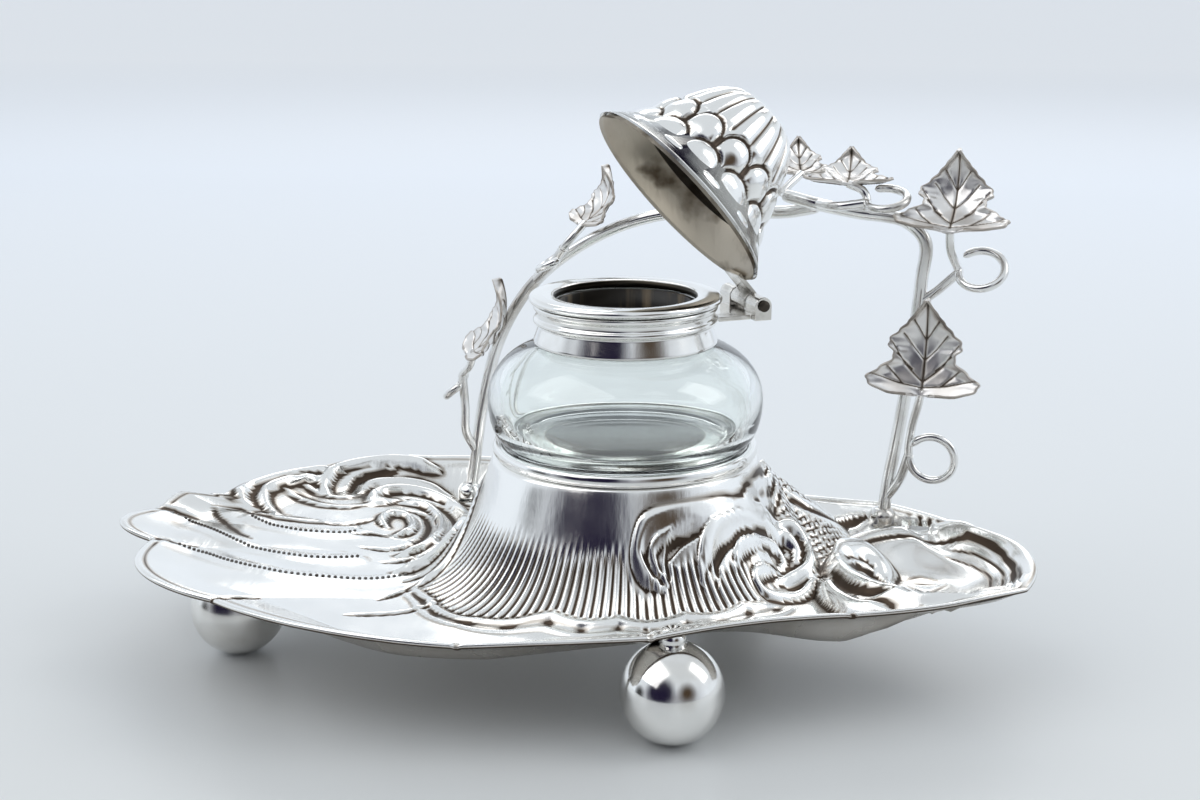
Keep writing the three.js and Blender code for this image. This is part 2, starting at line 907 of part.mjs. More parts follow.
// A domed socket round a stem's foot, seated on the tray
function socket(name) {
  const at = stemCurve(name).getPoint(socketShare);
  const top = surfaceAt(at.x, at.y) + vine.socketHeight;
  const rows = [
    [0, top - vine.socketHeight - overrun - vine.rise * socketShare],
    [vine.socketRadius, top - vine.socketHeight - overrun - vine.rise * socketShare],
    [vine.socketRadius, top - vine.socketHeight / 2],
    [vine.stemRadius + seatGap, top],
    [0, top],
  ];
  const dome = turned(rows, pinSides).translate(at.x, at.y, 0);
  return cut(dome, underSockets, grownStem(name), ...grownScrolls);
}

// Each twig: where its branch leaves which stem, the branch's bends, the curled tendril that ends
// in a leaf stalk, and how the leaf sits. A curl is a ring: its middle, its radius, the turn of
// its plane round the vertical, the tilt of that plane from upright, and where it starts and ends.
// Places and radii are shares of the twigs' reach, from the place where the branch leaves.
const twigShares = {
  left_low: {
    stem: "stem_left",
    leaves: 0.12,
    branch: [
      [-0.064, -0.16, 0.297],
      [-0.048, -0.2, 0.635],
    ],
    curl: { middle: [-0.204, -0.2, 0.935], radius: 0.18, turn: 90, tilt: -45, start: -230, end: 90 },
    stalk: [
      [0.076, -0.31, 1.197],
      [0.211, -0.45, 1.43],
    ],
    leaf: { turn: 30, lean: [35, 105], scale: 1.05 },
  },
  left_high: {
    stem: "stem_left",
    leaves: 0.45,
    branch: [[0.346, -0.25, 0.281]],
    curl: { middle: [0.373, -0.38, 0.401], radius: 0.2, turn: 90, tilt: -58, start: -230, end: 90 },
    stalk: [
      [0.66, -0.375, 0.65],
      [0.77, -0.24, 0.81],
    ],
    leaf: { turn: 42, lean: [30, 105], scale: 0.8 },
  },
  top: {
    stem: "stem_right",
    leaves: 0.895,
    branch: [[0.294, -0.164, 0.003]],
    curl: { middle: [0.85, -0.114, 0.052], radius: 0.22, turn: 0, tilt: 74, start: 500, end: 180 },
    stalk: [
      [0.569, -0.064, 0.17],
      [0.391, -0.114, 0.26],
    ],
    leaf: { turn: 100, lean: [0, 45], scale: 0.78 },
  },
  right_high: {
    stem: "stem_right",
    leaves: 0.41,
    branch: [[0.19, -0.015, 0.151]],
    curl: { middle: [0.692, -0.05, 0.398], radius: 0.25, turn: 0, tilt: 50, start: 510, end: 180 },
    stalk: [
      [0.352, -0.14, 0.638],
      [0.336, -0.2, 0.904],
    ],
    leaf: { turn: 90, lean: [28, 100], scale: 1 },
  },
  right_low: {
    stem: "stem_right",
    leaves: 0.095,
    branch: [[0.166, -0.07, 0.267]],
    curl: { middle: [0.544, -0.15, 0.608], radius: 0.265, turn: 0, tilt: 0, start: 510, end: 180 },
    stalk: [
      [0.307, -0.225, 0.942],
      [0.393, -0.35, 1.28],
      [0.436, -0.425, 1.482],
    ],
    leaf: { turn: 90, lean: [68, 98], scale: 1 },
  },
};

// The stalk that goes on from the right stem's end to a last leaf, placed the same way
const crownShares = {
  stem: "stem_right",
  stalk: [
    [0.05, 0.12, 0.08],
    [0.14, 0.36, 0.2],
  ],
  leaf: { turn: 110, lean: [15, 55], scale: 0.62 },
};
const curlSteps = 12;
const tendrilSteps = 24;
const branchSteps = 7;

// A place round the point where a twig leaves its stem, in shares of the twigs' reach
function twigPlace(twig, [alongShare, offShare, upShare]) {
  return stemCurve(twig.stem)
    .getPoint(twig.leaves)
    .addScaledVector(alongVine, alongShare * vine.twigReach)
    .addScaledVector(offVine, offShare * vine.twigReach)
    .addScaledVector(new THREE.Vector3(0, 0, 1), upShare * vine.twigReach);
}

// Points round a curl, drawn aside along its axis so that the wire passes itself
function curlPoints(twig) {
  const { middle, radius: radiusShare, turn, tilt, start, end } = twig.curl;
  const radius = radiusShare * vine.twigReach;
  const across = alongVine.clone().applyAxisAngle(new THREE.Vector3(0, 0, 1), degrees(turn));
  const up = new THREE.Vector3(0, 0, 1).applyAxisAngle(across, degrees(-tilt));
  const axis = across.clone().cross(up);
  const centre = twigPlace(twig, middle);
  const drift = ((2 * vine.tendrilRadius + vine.coilGap) * Math.abs(end - start)) / 360;
  const points = [];
  for (let step = 0; step <= curlSteps; step++) {
    const share = step / curlSteps;
    const angle = degrees(lerp(start, end, share));
    points.push(
      centre
        .clone()
        .addScaledVector(across, radius * Math.cos(angle))
        .addScaledVector(up, radius * Math.sin(angle))
        .addScaledVector(axis, drift * (1 - share)),
    );
  }
  return points;
}

function stalkPoints(twig) {
  return twig.stalk.map((shares) => twigPlace(twig, shares));
}

function tendrilWire(twig, radius) {
  return wire([...curlPoints(twig), ...stalkPoints(twig)], radius, tendrilSteps, twigSides);
}

function branchWire(twig, radius) {
  const points = [
    stemCurve(twig.stem).getPoint(twig.leaves),
    ...twig.branch.map((shares) => twigPlace(twig, shares)),
    curlPoints(twig)[curlSteps],
  ];
  return wire(points, radius, branchSteps, twigSides);
}

// The hole in a leaf that its stalk's end passes through
function stalkHole(stalk) {
  const [before, tip] = stalk.slice(-2);
  const ahead = tip.clone().sub(before).normalize();
  const ends = [-leaf.thickness, 2 * leaf.thickness].map((reach) =>
    tip.clone().addScaledVector(ahead, reach),
  );
  return wire(ends, vine.tendrilRadius + seatGap, 1, twigSides);
}

// A lobed leaf, bent from its stalk up to its tip, with its face towards the turn
function leafShape(place, { turn, lean, scale }) {
  const back = alongVine.clone().applyAxisAngle(new THREE.Vector3(0, 0, 1), degrees(turn));
  const across = new THREE.Vector3(-back.y, back.x, 0);
  const up = new THREE.Vector3(0, 0, 1);
  const length = leaf.length * scale;
  const width = leaf.width * scale;
  const spine = place.clone();
  const face = [];
  const rear = [];
  let before = 0;
  for (const [alongShare, widthShare] of leafRowShares) {
    const angle = degrees(lerp(lean[0], lean[1], smooth(alongShare)));
    const ahead = back.clone().multiplyScalar(Math.cos(angle)).addScaledVector(up, Math.sin(angle));
    const normal = back.clone().multiplyScalar(-Math.sin(angle)).addScaledVector(up, Math.cos(angle));
    spine.addScaledVector(ahead, (alongShare - before) * length);
    before = alongShare;
    const row = (offset) =>
      leafColumnShares.map((share) =>
        spine
          .clone()
          .addScaledVector(across, share * widthShare * width)
          .addScaledVector(normal, offset + leaf.fold * share * share * scale),
      );
    face.push(row(leaf.thickness / 2));
    rear.push(row(-leaf.thickness / 2));
  }
  return slab(face, rear, false);
}
const leafColumnShares = [-1, -0.5, 0, 0.5, 1];

const root = new THREE.Group();

function piece(name, geometry, finish, parent = root) {
  const mesh = new THREE.Mesh(geometry, new THREE.MeshStandardMaterial(finish));
  mesh.name = name;
  parent.add(mesh);
  return mesh;
}

piece("tray", traySheet, satin);
for (const [name, shares] of Object.entries(footPlaceShares)) {
  piece(name, ballFoot(trayPlace(shares)), polished);
}
piece("seat_ring", seatRingShape, polished);
piece("glass_well", glassShape(), clear);
piece("collar_cement", cementShape, plaster);
piece("collar", collarShape, polished);
piece("rim_plate", rimPlateShape, polished);

const hingeFrame = new THREE.Group();
hingeFrame.rotation.z = degrees(hingeTurn);
root.add(hingeFrame);
piece("hinge_base_leaf", hingeBaseLeaf(), polished, hingeFrame);
piece("hinge_pin", hingePin(), tarnished, hingeFrame);

const lidFrame = new THREE.Group();
lidFrame.position.set(pinReach, 0, pinHeight);
lidFrame.rotation.y = degrees(lidOpening);
hingeFrame.add(lidFrame);
piece("hinge_lid_leaf", lidLeaf(), polished, lidFrame);
piece("lid_bell", bellShape(), satin, lidFrame);

const grownStems = Object.keys(stemShares).map(grownStem);
for (const name of Object.keys(stemShares)) {
  piece(name, cut(stem(name), underTray, ...grownScrolls), polished);
  piece(name.replace("stem", "socket"), socket(name), polished);
}
for (const [name, twig] of Object.entries(twigShares)) {
  const grownTendril = tendrilWire(twig, vine.tendrilRadius + seatGap);
  const branch = cut(branchWire(twig, vine.twigRadius), grownTendril, ...grownStems);
  const stalk = stalkPoints(twig);
  const blade = leafShape(stalk.at(-1), twig.leaf);
  piece("branch_" + name, branch, polished);
  piece("tendril_" + name, tendrilWire(twig, vine.tendrilRadius), polished);
  piece("leaf_" + name, cut(blade, grownTendril, stalkHole(stalk)), satin);
}
const crown = { ...crownShares, leaves: 1 };
const crownPoints = [stemCurve(crown.stem).getPoint(1), ...stalkPoints(crown)];
const crownStalk = wire(crownPoints, vine.tendrilRadius, branchSteps, twigSides);
const grownStalk = wire(crownPoints, vine.tendrilRadius + seatGap, branchSteps, twigSides);
const crownLeaf = leafShape(crownPoints.at(-1), crown.leaf);
piece("stalk_crown", cut(crownStalk, ...grownStems), polished);
piece("leaf_crown", cut(crownLeaf, grownStalk, stalkHole(crownPoints)), satin);

// Bring the middle of the bounding box, at its bottom, to the origin
root.updateMatrixWorld(true);
const bounds = new THREE.Box3().setFromObject(root, true);
const middle = bounds.getCenter(new THREE.Vector3());
for (const child of root.children) {
  child.position.x -= middle.x;
  child.position.y -= middle.y;
  child.position.z -= bounds.min.z;
}

export default root;
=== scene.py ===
import math
import bmesh
import bpy
import numpy as np
from mathutils import Matrix, Vector


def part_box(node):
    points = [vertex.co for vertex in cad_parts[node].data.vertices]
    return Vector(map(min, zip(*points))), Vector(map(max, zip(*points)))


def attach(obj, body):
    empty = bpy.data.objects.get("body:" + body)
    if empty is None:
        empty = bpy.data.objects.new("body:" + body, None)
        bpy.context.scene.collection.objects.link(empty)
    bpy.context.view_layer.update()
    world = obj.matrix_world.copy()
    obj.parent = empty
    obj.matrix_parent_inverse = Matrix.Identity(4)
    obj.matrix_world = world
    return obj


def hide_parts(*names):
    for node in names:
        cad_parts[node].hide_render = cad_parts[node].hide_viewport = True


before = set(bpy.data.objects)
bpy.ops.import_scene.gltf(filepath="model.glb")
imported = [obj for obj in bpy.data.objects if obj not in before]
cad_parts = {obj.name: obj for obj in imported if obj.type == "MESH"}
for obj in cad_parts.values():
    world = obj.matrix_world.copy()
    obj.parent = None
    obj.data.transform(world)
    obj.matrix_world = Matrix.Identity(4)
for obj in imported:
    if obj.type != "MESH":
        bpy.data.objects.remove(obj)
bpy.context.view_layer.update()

mm = 0.001
tau = 2 * math.pi
scene = bpy.context.scene


def say(stage):
    print("inkwell:", stage)


wellLow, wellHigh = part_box("glass_well")
wellX = (wellLow[0] + wellHigh[0]) / 2 / mm  # the well's axis: tray, ivy and camera are measured from it
wellY = (wellLow[1] + wellHigh[1]) / 2 / mm


def atWell(x, y, z):  # millimetres from the foot of the well's axis, to metres in the frame
    return Vector(((x + wellX) * mm, (y + wellY) * mm, z * mm))


# camera at the photograph's angle
cameraView = {"across": 43.8, "back": -352.3, "height": 152, "pitch": 75.3, "turn": 8, "lens": 48.9}
cameraData = bpy.data.cameras.new("photoCamera")
cameraData.lens = cameraView["lens"]
cameraData.sensor_width = 36
cameraData.clip_start = 0.01
photoCamera = bpy.data.objects.new("photoCamera", cameraData)
scene.collection.objects.link(photoCamera)
photoCamera.location = atWell(cameraView["across"], cameraView["back"], cameraView["height"])
photoCamera.rotation_euler = (math.radians(cameraView["pitch"]), 0, math.radians(cameraView["turn"]))
scene.camera = photoCamera


# shader maths: a socket that can be added, subtracted and multiplied
class Wire:
    def __init__(self, paint, socket):
        self.paint = paint
        self.socket = socket

    def math(self, operation, other, swapped=False):
        pair = (other, self) if swapped else (self, other)
        return self.paint.node("ShaderNodeMath", {"operation": operation}, {0: pair[0], 1: pair[1]})

    def __add__(self, other):
        return self.math("ADD", other)

    def __radd__(self, other):
        return self.math("ADD", other, True)

    def __sub__(self, other):
        return self.math("SUBTRACT", other)

    def __rsub__(self, other):
        return self.math("SUBTRACT", other, True)

    def __mul__(self, other):
        return self.math("MULTIPLY", other)

    def __rmul__(self, other):
        return self.math("MULTIPLY", other, True)


class Paint:
    def __init__(self, owner):
        owner.use_nodes = True
        self.tree = owner.node_tree
        self.tree.nodes.clear()
        self.place = 0

    def node(self, kind, settings, inputs, output=0):
        made = self.tree.nodes.new(kind)
        made.location = (self.place * 30, -self.place * 20)
        self.place += 1
        for key, value in settings.items():
            setattr(made, key, value)
        for key, value in inputs.items():
            if isinstance(value, Wire):
                self.tree.links.new(value.socket, made.inputs[key])
            elif isinstance(value, tuple) and len(value) == 3 and made.inputs[key].type == "RGBA":
                made.inputs[key].default_value = (*value, 1)
            else:
                made.inputs[key].default_value = value
        return Wire(self, made.outputs[output]) if made.outputs else made

    def coordinates(self):
        return self.node("ShaderNodeTexCoord", {}, {}, 3)

    def noise(self, scale, detail=3, stretch=(1, 1, 1)):
        mapped = self.node("ShaderNodeMapping", {}, {"Vector": self.coordinates(), "Scale": stretch})
        return self.node("ShaderNodeTexNoise", {}, {"Vector": mapped, "Scale": scale, "Detail": detail})

    def band(self, value, low, high):  # value from low..high to 0..1, clamped
        inputs = {"Value": value, "From Min": low, "From Max": high}
        return self.node("ShaderNodeMapRange", {"clamp": True}, inputs)

    def mix(self, factor, first, second):
        return self.node("ShaderNodeMix", {"data_type": "RGBA"}, {0: factor, 6: first, 7: second}, 2)

    def attribute(self, name):
        return self.node("ShaderNodeAttribute", {"attribute_name": name}, {}, 2)

    def bump(self, height, strength, distance):
        inputs = {"Height": height, "Strength": strength, "Distance": distance}
        return self.node("ShaderNodeBump", {}, inputs)

    def surface(self, inputs):
        shader = self.node("ShaderNodeBsdfPrincipled", {}, inputs)
        self.node("ShaderNodeOutputMaterial", {}, {"Surface": shader})


def newPaint(name):
    material = bpy.data.materials.new(name)
    return material, Paint(material)


# silver: dark with patina in its hollows where it is recessed, and with painted shade on the tray's under
# side and under its rolled edge, or else in smudges, with soft dents and hairlines
silverGrain = {
    "smudge": 90,
    "cloud": 28,
    "hairline": 700,
    "hairStretch": (1, 0.12, 0.3),
    "dent": 60,
    "dentHeight": 0.0006,
    "faded": 0.93,
    "smudgeGloss": 0.09,
    "hairGloss": 0.04,
    "hollowGloss": 0.22,
    "tarnishGloss": 0.1,
    "brownAndShade": 0.55,
}
bright = (0.93, 0.925, 0.905)
# brown and dark colours of the patina in the hollows; on the tray they also paint shade on its under side and
# under its rolled edge
brownPatinaAndShade = (0.47, 0.39, 0.3)
duller = (0.86, 0.84, 0.82)
darkPatinaAndShade = (0.055, 0.036, 0.024)
# colour that darkens the mouth plate's inner wall
innerWallDark = (0.02, 0.016, 0.01)


def silverFinish(name, pale, dark, gloss, grimeAndShade, dents, recessed=False):
    material, paint = newPaint(name + "Silver")
    grain = silverGrain
    smudge = paint.noise(grain["smudge"], 4)
    cloud = paint.noise(grain["cloud"], 3)
    hairline = paint.noise(grain["hairline"], 2, grain["hairStretch"])
    colour = paint.mix(paint.band(cloud, 0.35, 0.7), pale, tuple(c * grain["faded"] for c in pale))
    roughness = gloss + grain["smudgeGloss"] * paint.band(smudge, 0.42, 0.72) + grain["hairGloss"] * hairline
    if recessed:
        # mask: patina in the hollows, and painted shade on the tray's under side and under its rolled edge
        hollow = paint.band(paint.attribute("patinaAndShade") + 0.3 * (smudge - 0.5), 0.12, 0.7)
        colour = paint.mix(paint.band(hollow, 0, 0.5) * grain["brownAndShade"], colour, brownPatinaAndShade)
        colour = paint.mix(hollow * hollow * grimeAndShade, colour, dark)
        roughness = roughness + grain["hollowGloss"] * hollow
    else:
        patch = paint.band(0.4 * cloud + 0.6 * smudge, 0.5, 0.62) * grimeAndShade
        colour = paint.mix(patch, colour, dark)
        roughness = roughness + grain["tarnishGloss"] * patch
    surface = paint.noise(grain["dent"], 2) + 0.25 * hairline
    inputs = {"Base Color": colour, "Metallic": 1.0, "Roughness": roughness}
    inputs["Normal"] = paint.bump(surface, dents, grain["dentHeight"])
    paint.surface(inputs)
    return material


# the tray's silver: its dark also paints shade on the under side and under the rolled edge
chasedSilver = silverFinish("chased", bright, darkPatinaAndShade, gloss=0.14, grimeAndShade=0.97, dents=0.3, recessed=True)
embossedSilver = silverFinish("embossed", bright, darkPatinaAndShade, gloss=0.1, grimeAndShade=0.95, dents=0.25, recessed=True)
leafSilver = silverFinish("leaf", duller, darkPatinaAndShade, gloss=0.26, grimeAndShade=0.9, dents=0.4, recessed=True)
rimSilver = silverFinish("rim", bright, innerWallDark, gloss=0.07, grimeAndShade=0.97, dents=0.12, recessed=True)
liningSilver = silverFinish("lining", (0.58, 0.52, 0.43), (0.12, 0.085, 0.05), gloss=0.42, grimeAndShade=1, dents=0.9)
darkSilver = silverFinish("dark", (0.2, 0.19, 0.18), darkPatinaAndShade, gloss=0.3, grimeAndShade=0.8, dents=0.2)
polishedSilver = silverFinish("polished", bright, (0.5, 0.46, 0.4), gloss=0.07, grimeAndShade=0.25, dents=0.12)
wireSilver = silverFinish("wire", (0.88, 0.875, 0.86), (0.35, 0.31, 0.26), gloss=0.12, grimeAndShade=0.5, dents=0.2)
hingeSilver = silverFinish("hinge", (0.8, 0.78, 0.74), (0.12, 0.1, 0.07), gloss=0.15, grimeAndShade=0.9, dents=0.4)
pinSilver = silverFinish("pin", (0.07, 0.06, 0.05), (0.02, 0.015, 0.01), gloss=0.3, grimeAndShade=0.8, dents=0.3)


def glassFinish():
    material, paint = newPaint("wellGlass")
    ripple = paint.noise(35, 1)
    inputs = {"Base Color": (0.965, 0.99, 0.975), "Roughness": 0.0, "IOR": 1.5}
    inputs["Transmission Weight"] = 1.0
    inputs["Normal"] = paint.bump(ripple, 0.12, 0.001)
    paint.surface(inputs)
    return material


def cementFinish():  # plaster cement, stained by ink
    material, paint = newPaint("neckCement")
    grain = paint.noise(900, 4)
    stain = paint.band(paint.noise(120, 2, (1, 1, 0.2)), 0.78, 0.55)
    colour = paint.mix(grain, (0.62, 0.59, 0.52), (0.82, 0.8, 0.74))
    colour = paint.mix(stain, colour, (0.035, 0.025, 0.015))
    inputs = {"Base Color": colour, "Roughness": 0.9, "Normal": paint.bump(grain, 0.5, 0.0003)}
    paint.surface(inputs)
    return material


def inkFinish():
    material, paint = newPaint("driedInk")
    streak = paint.noise(260, 3, (1, 1, 0.08))
    colour = paint.mix(paint.band(streak, 0.5, 0.72), (0.012, 0.009, 0.006), (0.2, 0.15, 0.09))
    paint.surface({"Base Color": colour, "Roughness": 0.3 + 0.4 * streak})
    return material


wellGlass = glassFinish()
neckCement = cementFinish()
driedInk = inkFinish()
say("finishes")


# pieces
def addPiece(name, shape, finish, body, replaced=()):
    piece = bpy.data.objects.new(name, shape)
    scene.collection.objects.link(piece)
    shape.materials.append(finish)
    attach(piece, body)
    if replaced:
        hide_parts(*replaced)
    return piece


def meshFrom(name, bm, smooth=True):
    mesh = bpy.data.meshes.new(name)
    for face in bm.faces:
        face.smooth = smooth
    bm.to_mesh(mesh)
    bm.free()
    return mesh


def inFrame(x, y, z):  # millimetres from the well's axis, to rows of metres in the frame
    return np.column_stack((x + wellX, y + wellY, z)) * mm


def setPoints(mesh, points):
    mesh.vertices.foreach_set("co", np.asarray(points, dtype=np.float32).ravel())
    mesh.update()


def getPoints(mesh):
    points = np.empty(len(mesh.vertices) * 3, dtype=np.float32)
    mesh.vertices.foreach_get("co", points)
    return points.reshape(-1, 3).astype(np.float64)


def addAttribute(mesh, name, values):
    layer = mesh.attributes.new(name, "FLOAT", "POINT")
    layer.data.foreach_set("value", np.asarray(values, dtype=np.float32))


def turned(profile, steps):  # a solid from [radius, height] rows, ending on the axis or where they start
    bm = bmesh.new()
    verts = [bm.verts.new((radius, 0, height)) for radius, height in profile]
    edges = [bm.edges.new(pair) for pair in zip(verts, verts[1:])]
    if profile[0][0] > 0:
        edges.append(bm.edges.new((verts[-1], verts[0])))
    bmesh.ops.spin(
        bm, geom=verts + edges, cent=(0, 0, 0), axis=(0, 0, 1), angle=tau, steps=steps, use_merge=True
    )
    bmesh.ops.remove_doubles(bm, verts=bm.verts[:], dist=1e-5)
    bmesh.ops.recalc_face_normals(bm, faces=bm.faces[:])
    return bm


def softened(profile, radius, steps=4):  # rounds the corners of a profile, except those on the axis
    rows = []
    last = len(profile) - 1
    closed = profile[0][0] > 0
    for i, point in enumerate(profile):
        if not closed and i in (0, last):
            rows.append(tuple(point))
            continue
        here = np.array(point, dtype=float)
        before = np.array(profile[i - 1], dtype=float)
        after = np.array(profile[(i + 1) % len(profile)], dtype=float)
        backWay = (before - here) / np.linalg.norm(before - here)
        onWay = (after - here) / np.linalg.norm(after - here)
        reach = min(radius, *(0.45 * np.linalg.norm(side - here) for side in (before, after)))
        start, end = here + backWay * reach, here + onWay * reach
        for step in range(steps + 1):
            t = step / steps
            rows.append(tuple((1 - t) ** 2 * start + 2 * t * (1 - t) * here + t * t * end))
    return rows


def toFrame(bm, x=0, y=0):  # from millimetres round an axis to metres in the frame
    bmesh.ops.scale(bm, vec=(mm, mm, mm), verts=bm.verts[:])
    bmesh.ops.translate(bm, vec=atWell(x, y, 0), verts=bm.verts[:])


def smoothstep(t):
    s = np.clip(t, 0, 1)
    return s * s * (3 - 2 * s)


# the tray's shape, in millimetres from the well's axis; places on it are shares of its half size
trayForm = {
    "halfLength": 106,
    "halfWidth": 57,
    "ahead": 14.5,
    "aside": 5,
    "floor": 18,
    "shellFloor": 23,
    "shellStart": 38,
    "shellRun": 38,
    "rim": 24,
    "rimRise": 5.5,
    "lip": 13,
    "lobe": 1.4,
    "domeRadius": 29.6,
    "domeTop": 47,
    "domeFlare": 7.85,
    "domePower": 1.2,
    "underDrop": 1.9,
    "edgeDrop": 1.1,
    "steepest": 1.6,
    # how dark the painted shade on the under side is
    "underShade": 0.35,
    "roll": 0.6,
    "rollTurn": 200,
    # radius of the darker disc on the seat
    "stain": 18.5,
}
traySheet = {"columns": 830, "rings": 118, "seatRings": 6, "rollRings": 7, "crowded": 0.35, "crowdedAt": -100}
trayUnder = {"columns": 300, "rings": 40}
basinForm = {
    "x": 68.71,
    "y": -8.42,
    "radius": 20.5,
    "floor": 20.5,
    "crest": 27.4,
    "wall": 15,
    "ring": (0.8, 1.8),  # height and half width
    "groove": (-0.35, 0.5),
    "grooveInside": 2.9,
    "line": (-0.28, 0.45),
    "lineRadii": (13.2, 15.8, 18.2),
    "lineMiddle": 5,
    "lineSpan": 75,
    "gadroons": 72,
    "gadroonHeight": 0.3,
    "gadroonStart": 22,
}
rimLobes = [  # where each lobe starts, the rim's height there, and the lobe's bulge and depth
    (0.627, -0.588, 0.36, 0.055, 0),
    (0.967, -0.316, 0.64, 0.21, 0),
    (0.891, 0.228, 1, 0.04, 0),
    (0.703, 0.526, 1, -0.03, 0.2),
    (0.25, 0.825, 0.55, 0.03, 0.3),
    (-0.108, 0.982, 0.55, 0.06, 0.4),
    (-0.41, 0.982, 0.82, 0.06, 0.6),
    (-0.656, 0.789, 0.73, 0.08, 0.6),
    (-0.835, 0.333, 0.55, 0.38, 1),
    (-0.953, 0.202, 0.36, 0.37, 1),
    (-0.886, -0.154, 0.27, 0.22, 1),
    (-0.637, -0.711, 0.09, 0.11, 0.8),
    (-0.108, -0.982, 0, 0.03, 0.3),
    (0.25, -0.842, 0.09, -0.03, 0.3),
]
spurRidge = [  # places and heights of the ridge that runs from the dome to the arch's right end
    (0.429, 0.228, 44),
    (0.4575, 0.263, 40),
    (0.495, 0.316, 34.3),
    (0.533, 0.333, 32.7),
    (0.59, 0.4035, 31),
    (0.703, 0.51, 28.7),
]
spurForm = {"slope": 0.8, "fold": 1.5, "foldRise": 0.35}


def trayPlace(along, across):
    x = along * trayForm["halfLength"] - trayForm["ahead"]
    y = across * trayForm["halfWidth"] - trayForm["aside"]
    return np.array((x, y))


def rimTable(stepsPerLobe=40):  # the rim's angle, distance, height and depth of lobe, lobe by lobe
    rows = []
    for lobe, after in zip(rimLobes, rimLobes[1:] + rimLobes[:1]):
        start, end = trayPlace(*lobe[:2]), trayPlace(*after[:2])
        chord = end - start
        bend = (start + end) / 2 + 2 * lobe[3] * np.array((chord[1], -chord[0]))
        for step in range(stepsPerLobe):
            t = step / stepsPerLobe
            point = (1 - t) ** 2 * start + 2 * t * (1 - t) * bend + t * t * end
            rise = lobe[2] + (after[2] - lobe[2]) * t
            depth = lobe[4] * math.sin(math.pi * t)
            rows.append((math.atan2(point[1], point[0]), np.hypot(*point), rise, depth))
    rows.sort()
    return np.array(rows)


rimRows = rimTable()


def rimAt(angle):
    return [np.interp(angle, rimRows[:, 0], rimRows[:, k], period=tau) for k in (1, 2, 3)]


def throughPoints(points, steps):  # centripetal curve through points
    points = [np.array(p, dtype=float) for p in points]
    ends = [2 * points[0] - points[1]] + points + [2 * points[-1] - points[-2]]
    made = []
    for i in range(len(points) - 1):
        a, b, c, d = ends[i : i + 4]
        ab, bc, cd = [max(np.linalg.norm(q - p) ** 0.5, 1e-4) for p, q in ((a, b), (b, c), (c, d))]
        leave = ((b - a) / ab - (c - a) / (ab + bc) + (c - b) / bc) * bc
        reach = ((c - b) / bc - (d - b) / (bc + cd) + (d - c) / cd) * bc
        for step in range(steps):
            t = step / steps
            cubic = 2 * b - 2 * c + leave + reach
            square = -3 * b + 3 * c - 2 * leave - reach
            made.append(b + leave * t + square * t * t + cubic * t**3)
    made.append(points[-1])
    return made


def roundPath(shares, steps=5):  # a smooth path through places on the tray
    return np.array(throughPoints([trayPlace(*share) for share in shares], steps))


def toSpan(x, y, start, end):  # distance to a straight span, and the share of it at the nearest point
    run = end - start
    t = np.clip(((x - start[0]) * run[0] + (y - start[1]) * run[1]) / max(run @ run, 1e-12), 0, 1)
    return np.hypot(x - start[0] - t * run[0], y - start[1] - t * run[1]), t


def toPath(x, y, path):  # distance to a path, how far along it the nearest point is, and its length
    best = np.full(np.shape(x), 1e9)
    along = np.zeros(np.shape(x))
    done = 0
    for start, end in zip(path, path[1:]):
        length = np.hypot(*(end - start))
        away, t = toSpan(x, y, start, end)
        nearer = away < best
        best = np.where(nearer, away, best)
        along = np.where(nearer, done + t * length, along)
        done += length
    return best, along, done


def spurHeight(x, y):  # the ridge, with straight slopes on both sides
    spur = np.zeros(np.shape(x))
    for start, end in zip(spurRidge, spurRidge[1:]):
        away, t = toSpan(x, y, trayPlace(*start[:2]), trayPlace(*end[:2]))
        spur = np.maximum(spur, start[2] + (end[2] - start[2]) * t - spurForm["slope"] * away)
    return spur


def plainHeight(x, y):  # the tray's upper face before it is chased
    form, basin = trayForm, basinForm
    out = np.hypot(x, y)
    rimOut, rise, depth = rimAt(np.arctan2(y, x))
    inward = rimOut - out
    shell = smoothstep((-x - form["shellStart"]) / form["shellRun"])
    floor = form["floor"] + (form["shellFloor"] - form["floor"]) * shell
    lip = smoothstep(1 - inward / form["lip"])
    rimTop = form["rim"] + form["rimRise"] * rise
    beside = np.maximum(out - form["domeRadius"], 0) / form["domeFlare"]
    fall = np.exp(-(beside ** form["domePower"]))
    height = floor + (rimTop - floor) * lip + (form["domeTop"] - floor) * fall * (1 - lip)
    height += form["lobe"] * depth * smoothstep(1 - inward / form["halfWidth"]) * (1 - fall)
    spur = spurHeight(x, y)
    blend = np.clip((spur - height) / spurForm["fold"], -1, 1)  # a rounded fold along the ridge
    height = np.where(blend > 0, spur, height) + spurForm["foldRise"] * (1 - np.abs(blend)) ** 2
    beyond = np.hypot(x - basin["x"], y - basin["y"]) - basin["radius"]
    bowl = basin["floor"] + (basin["crest"] - basin["floor"]) * smoothstep(1 + beyond / basin["wall"])
    height = np.where(beyond < 0, bowl + (height - bowl) * lip, np.maximum(height, basin["crest"] - beyond))
    return np.where(out <= form["domeRadius"], form["domeTop"], height)


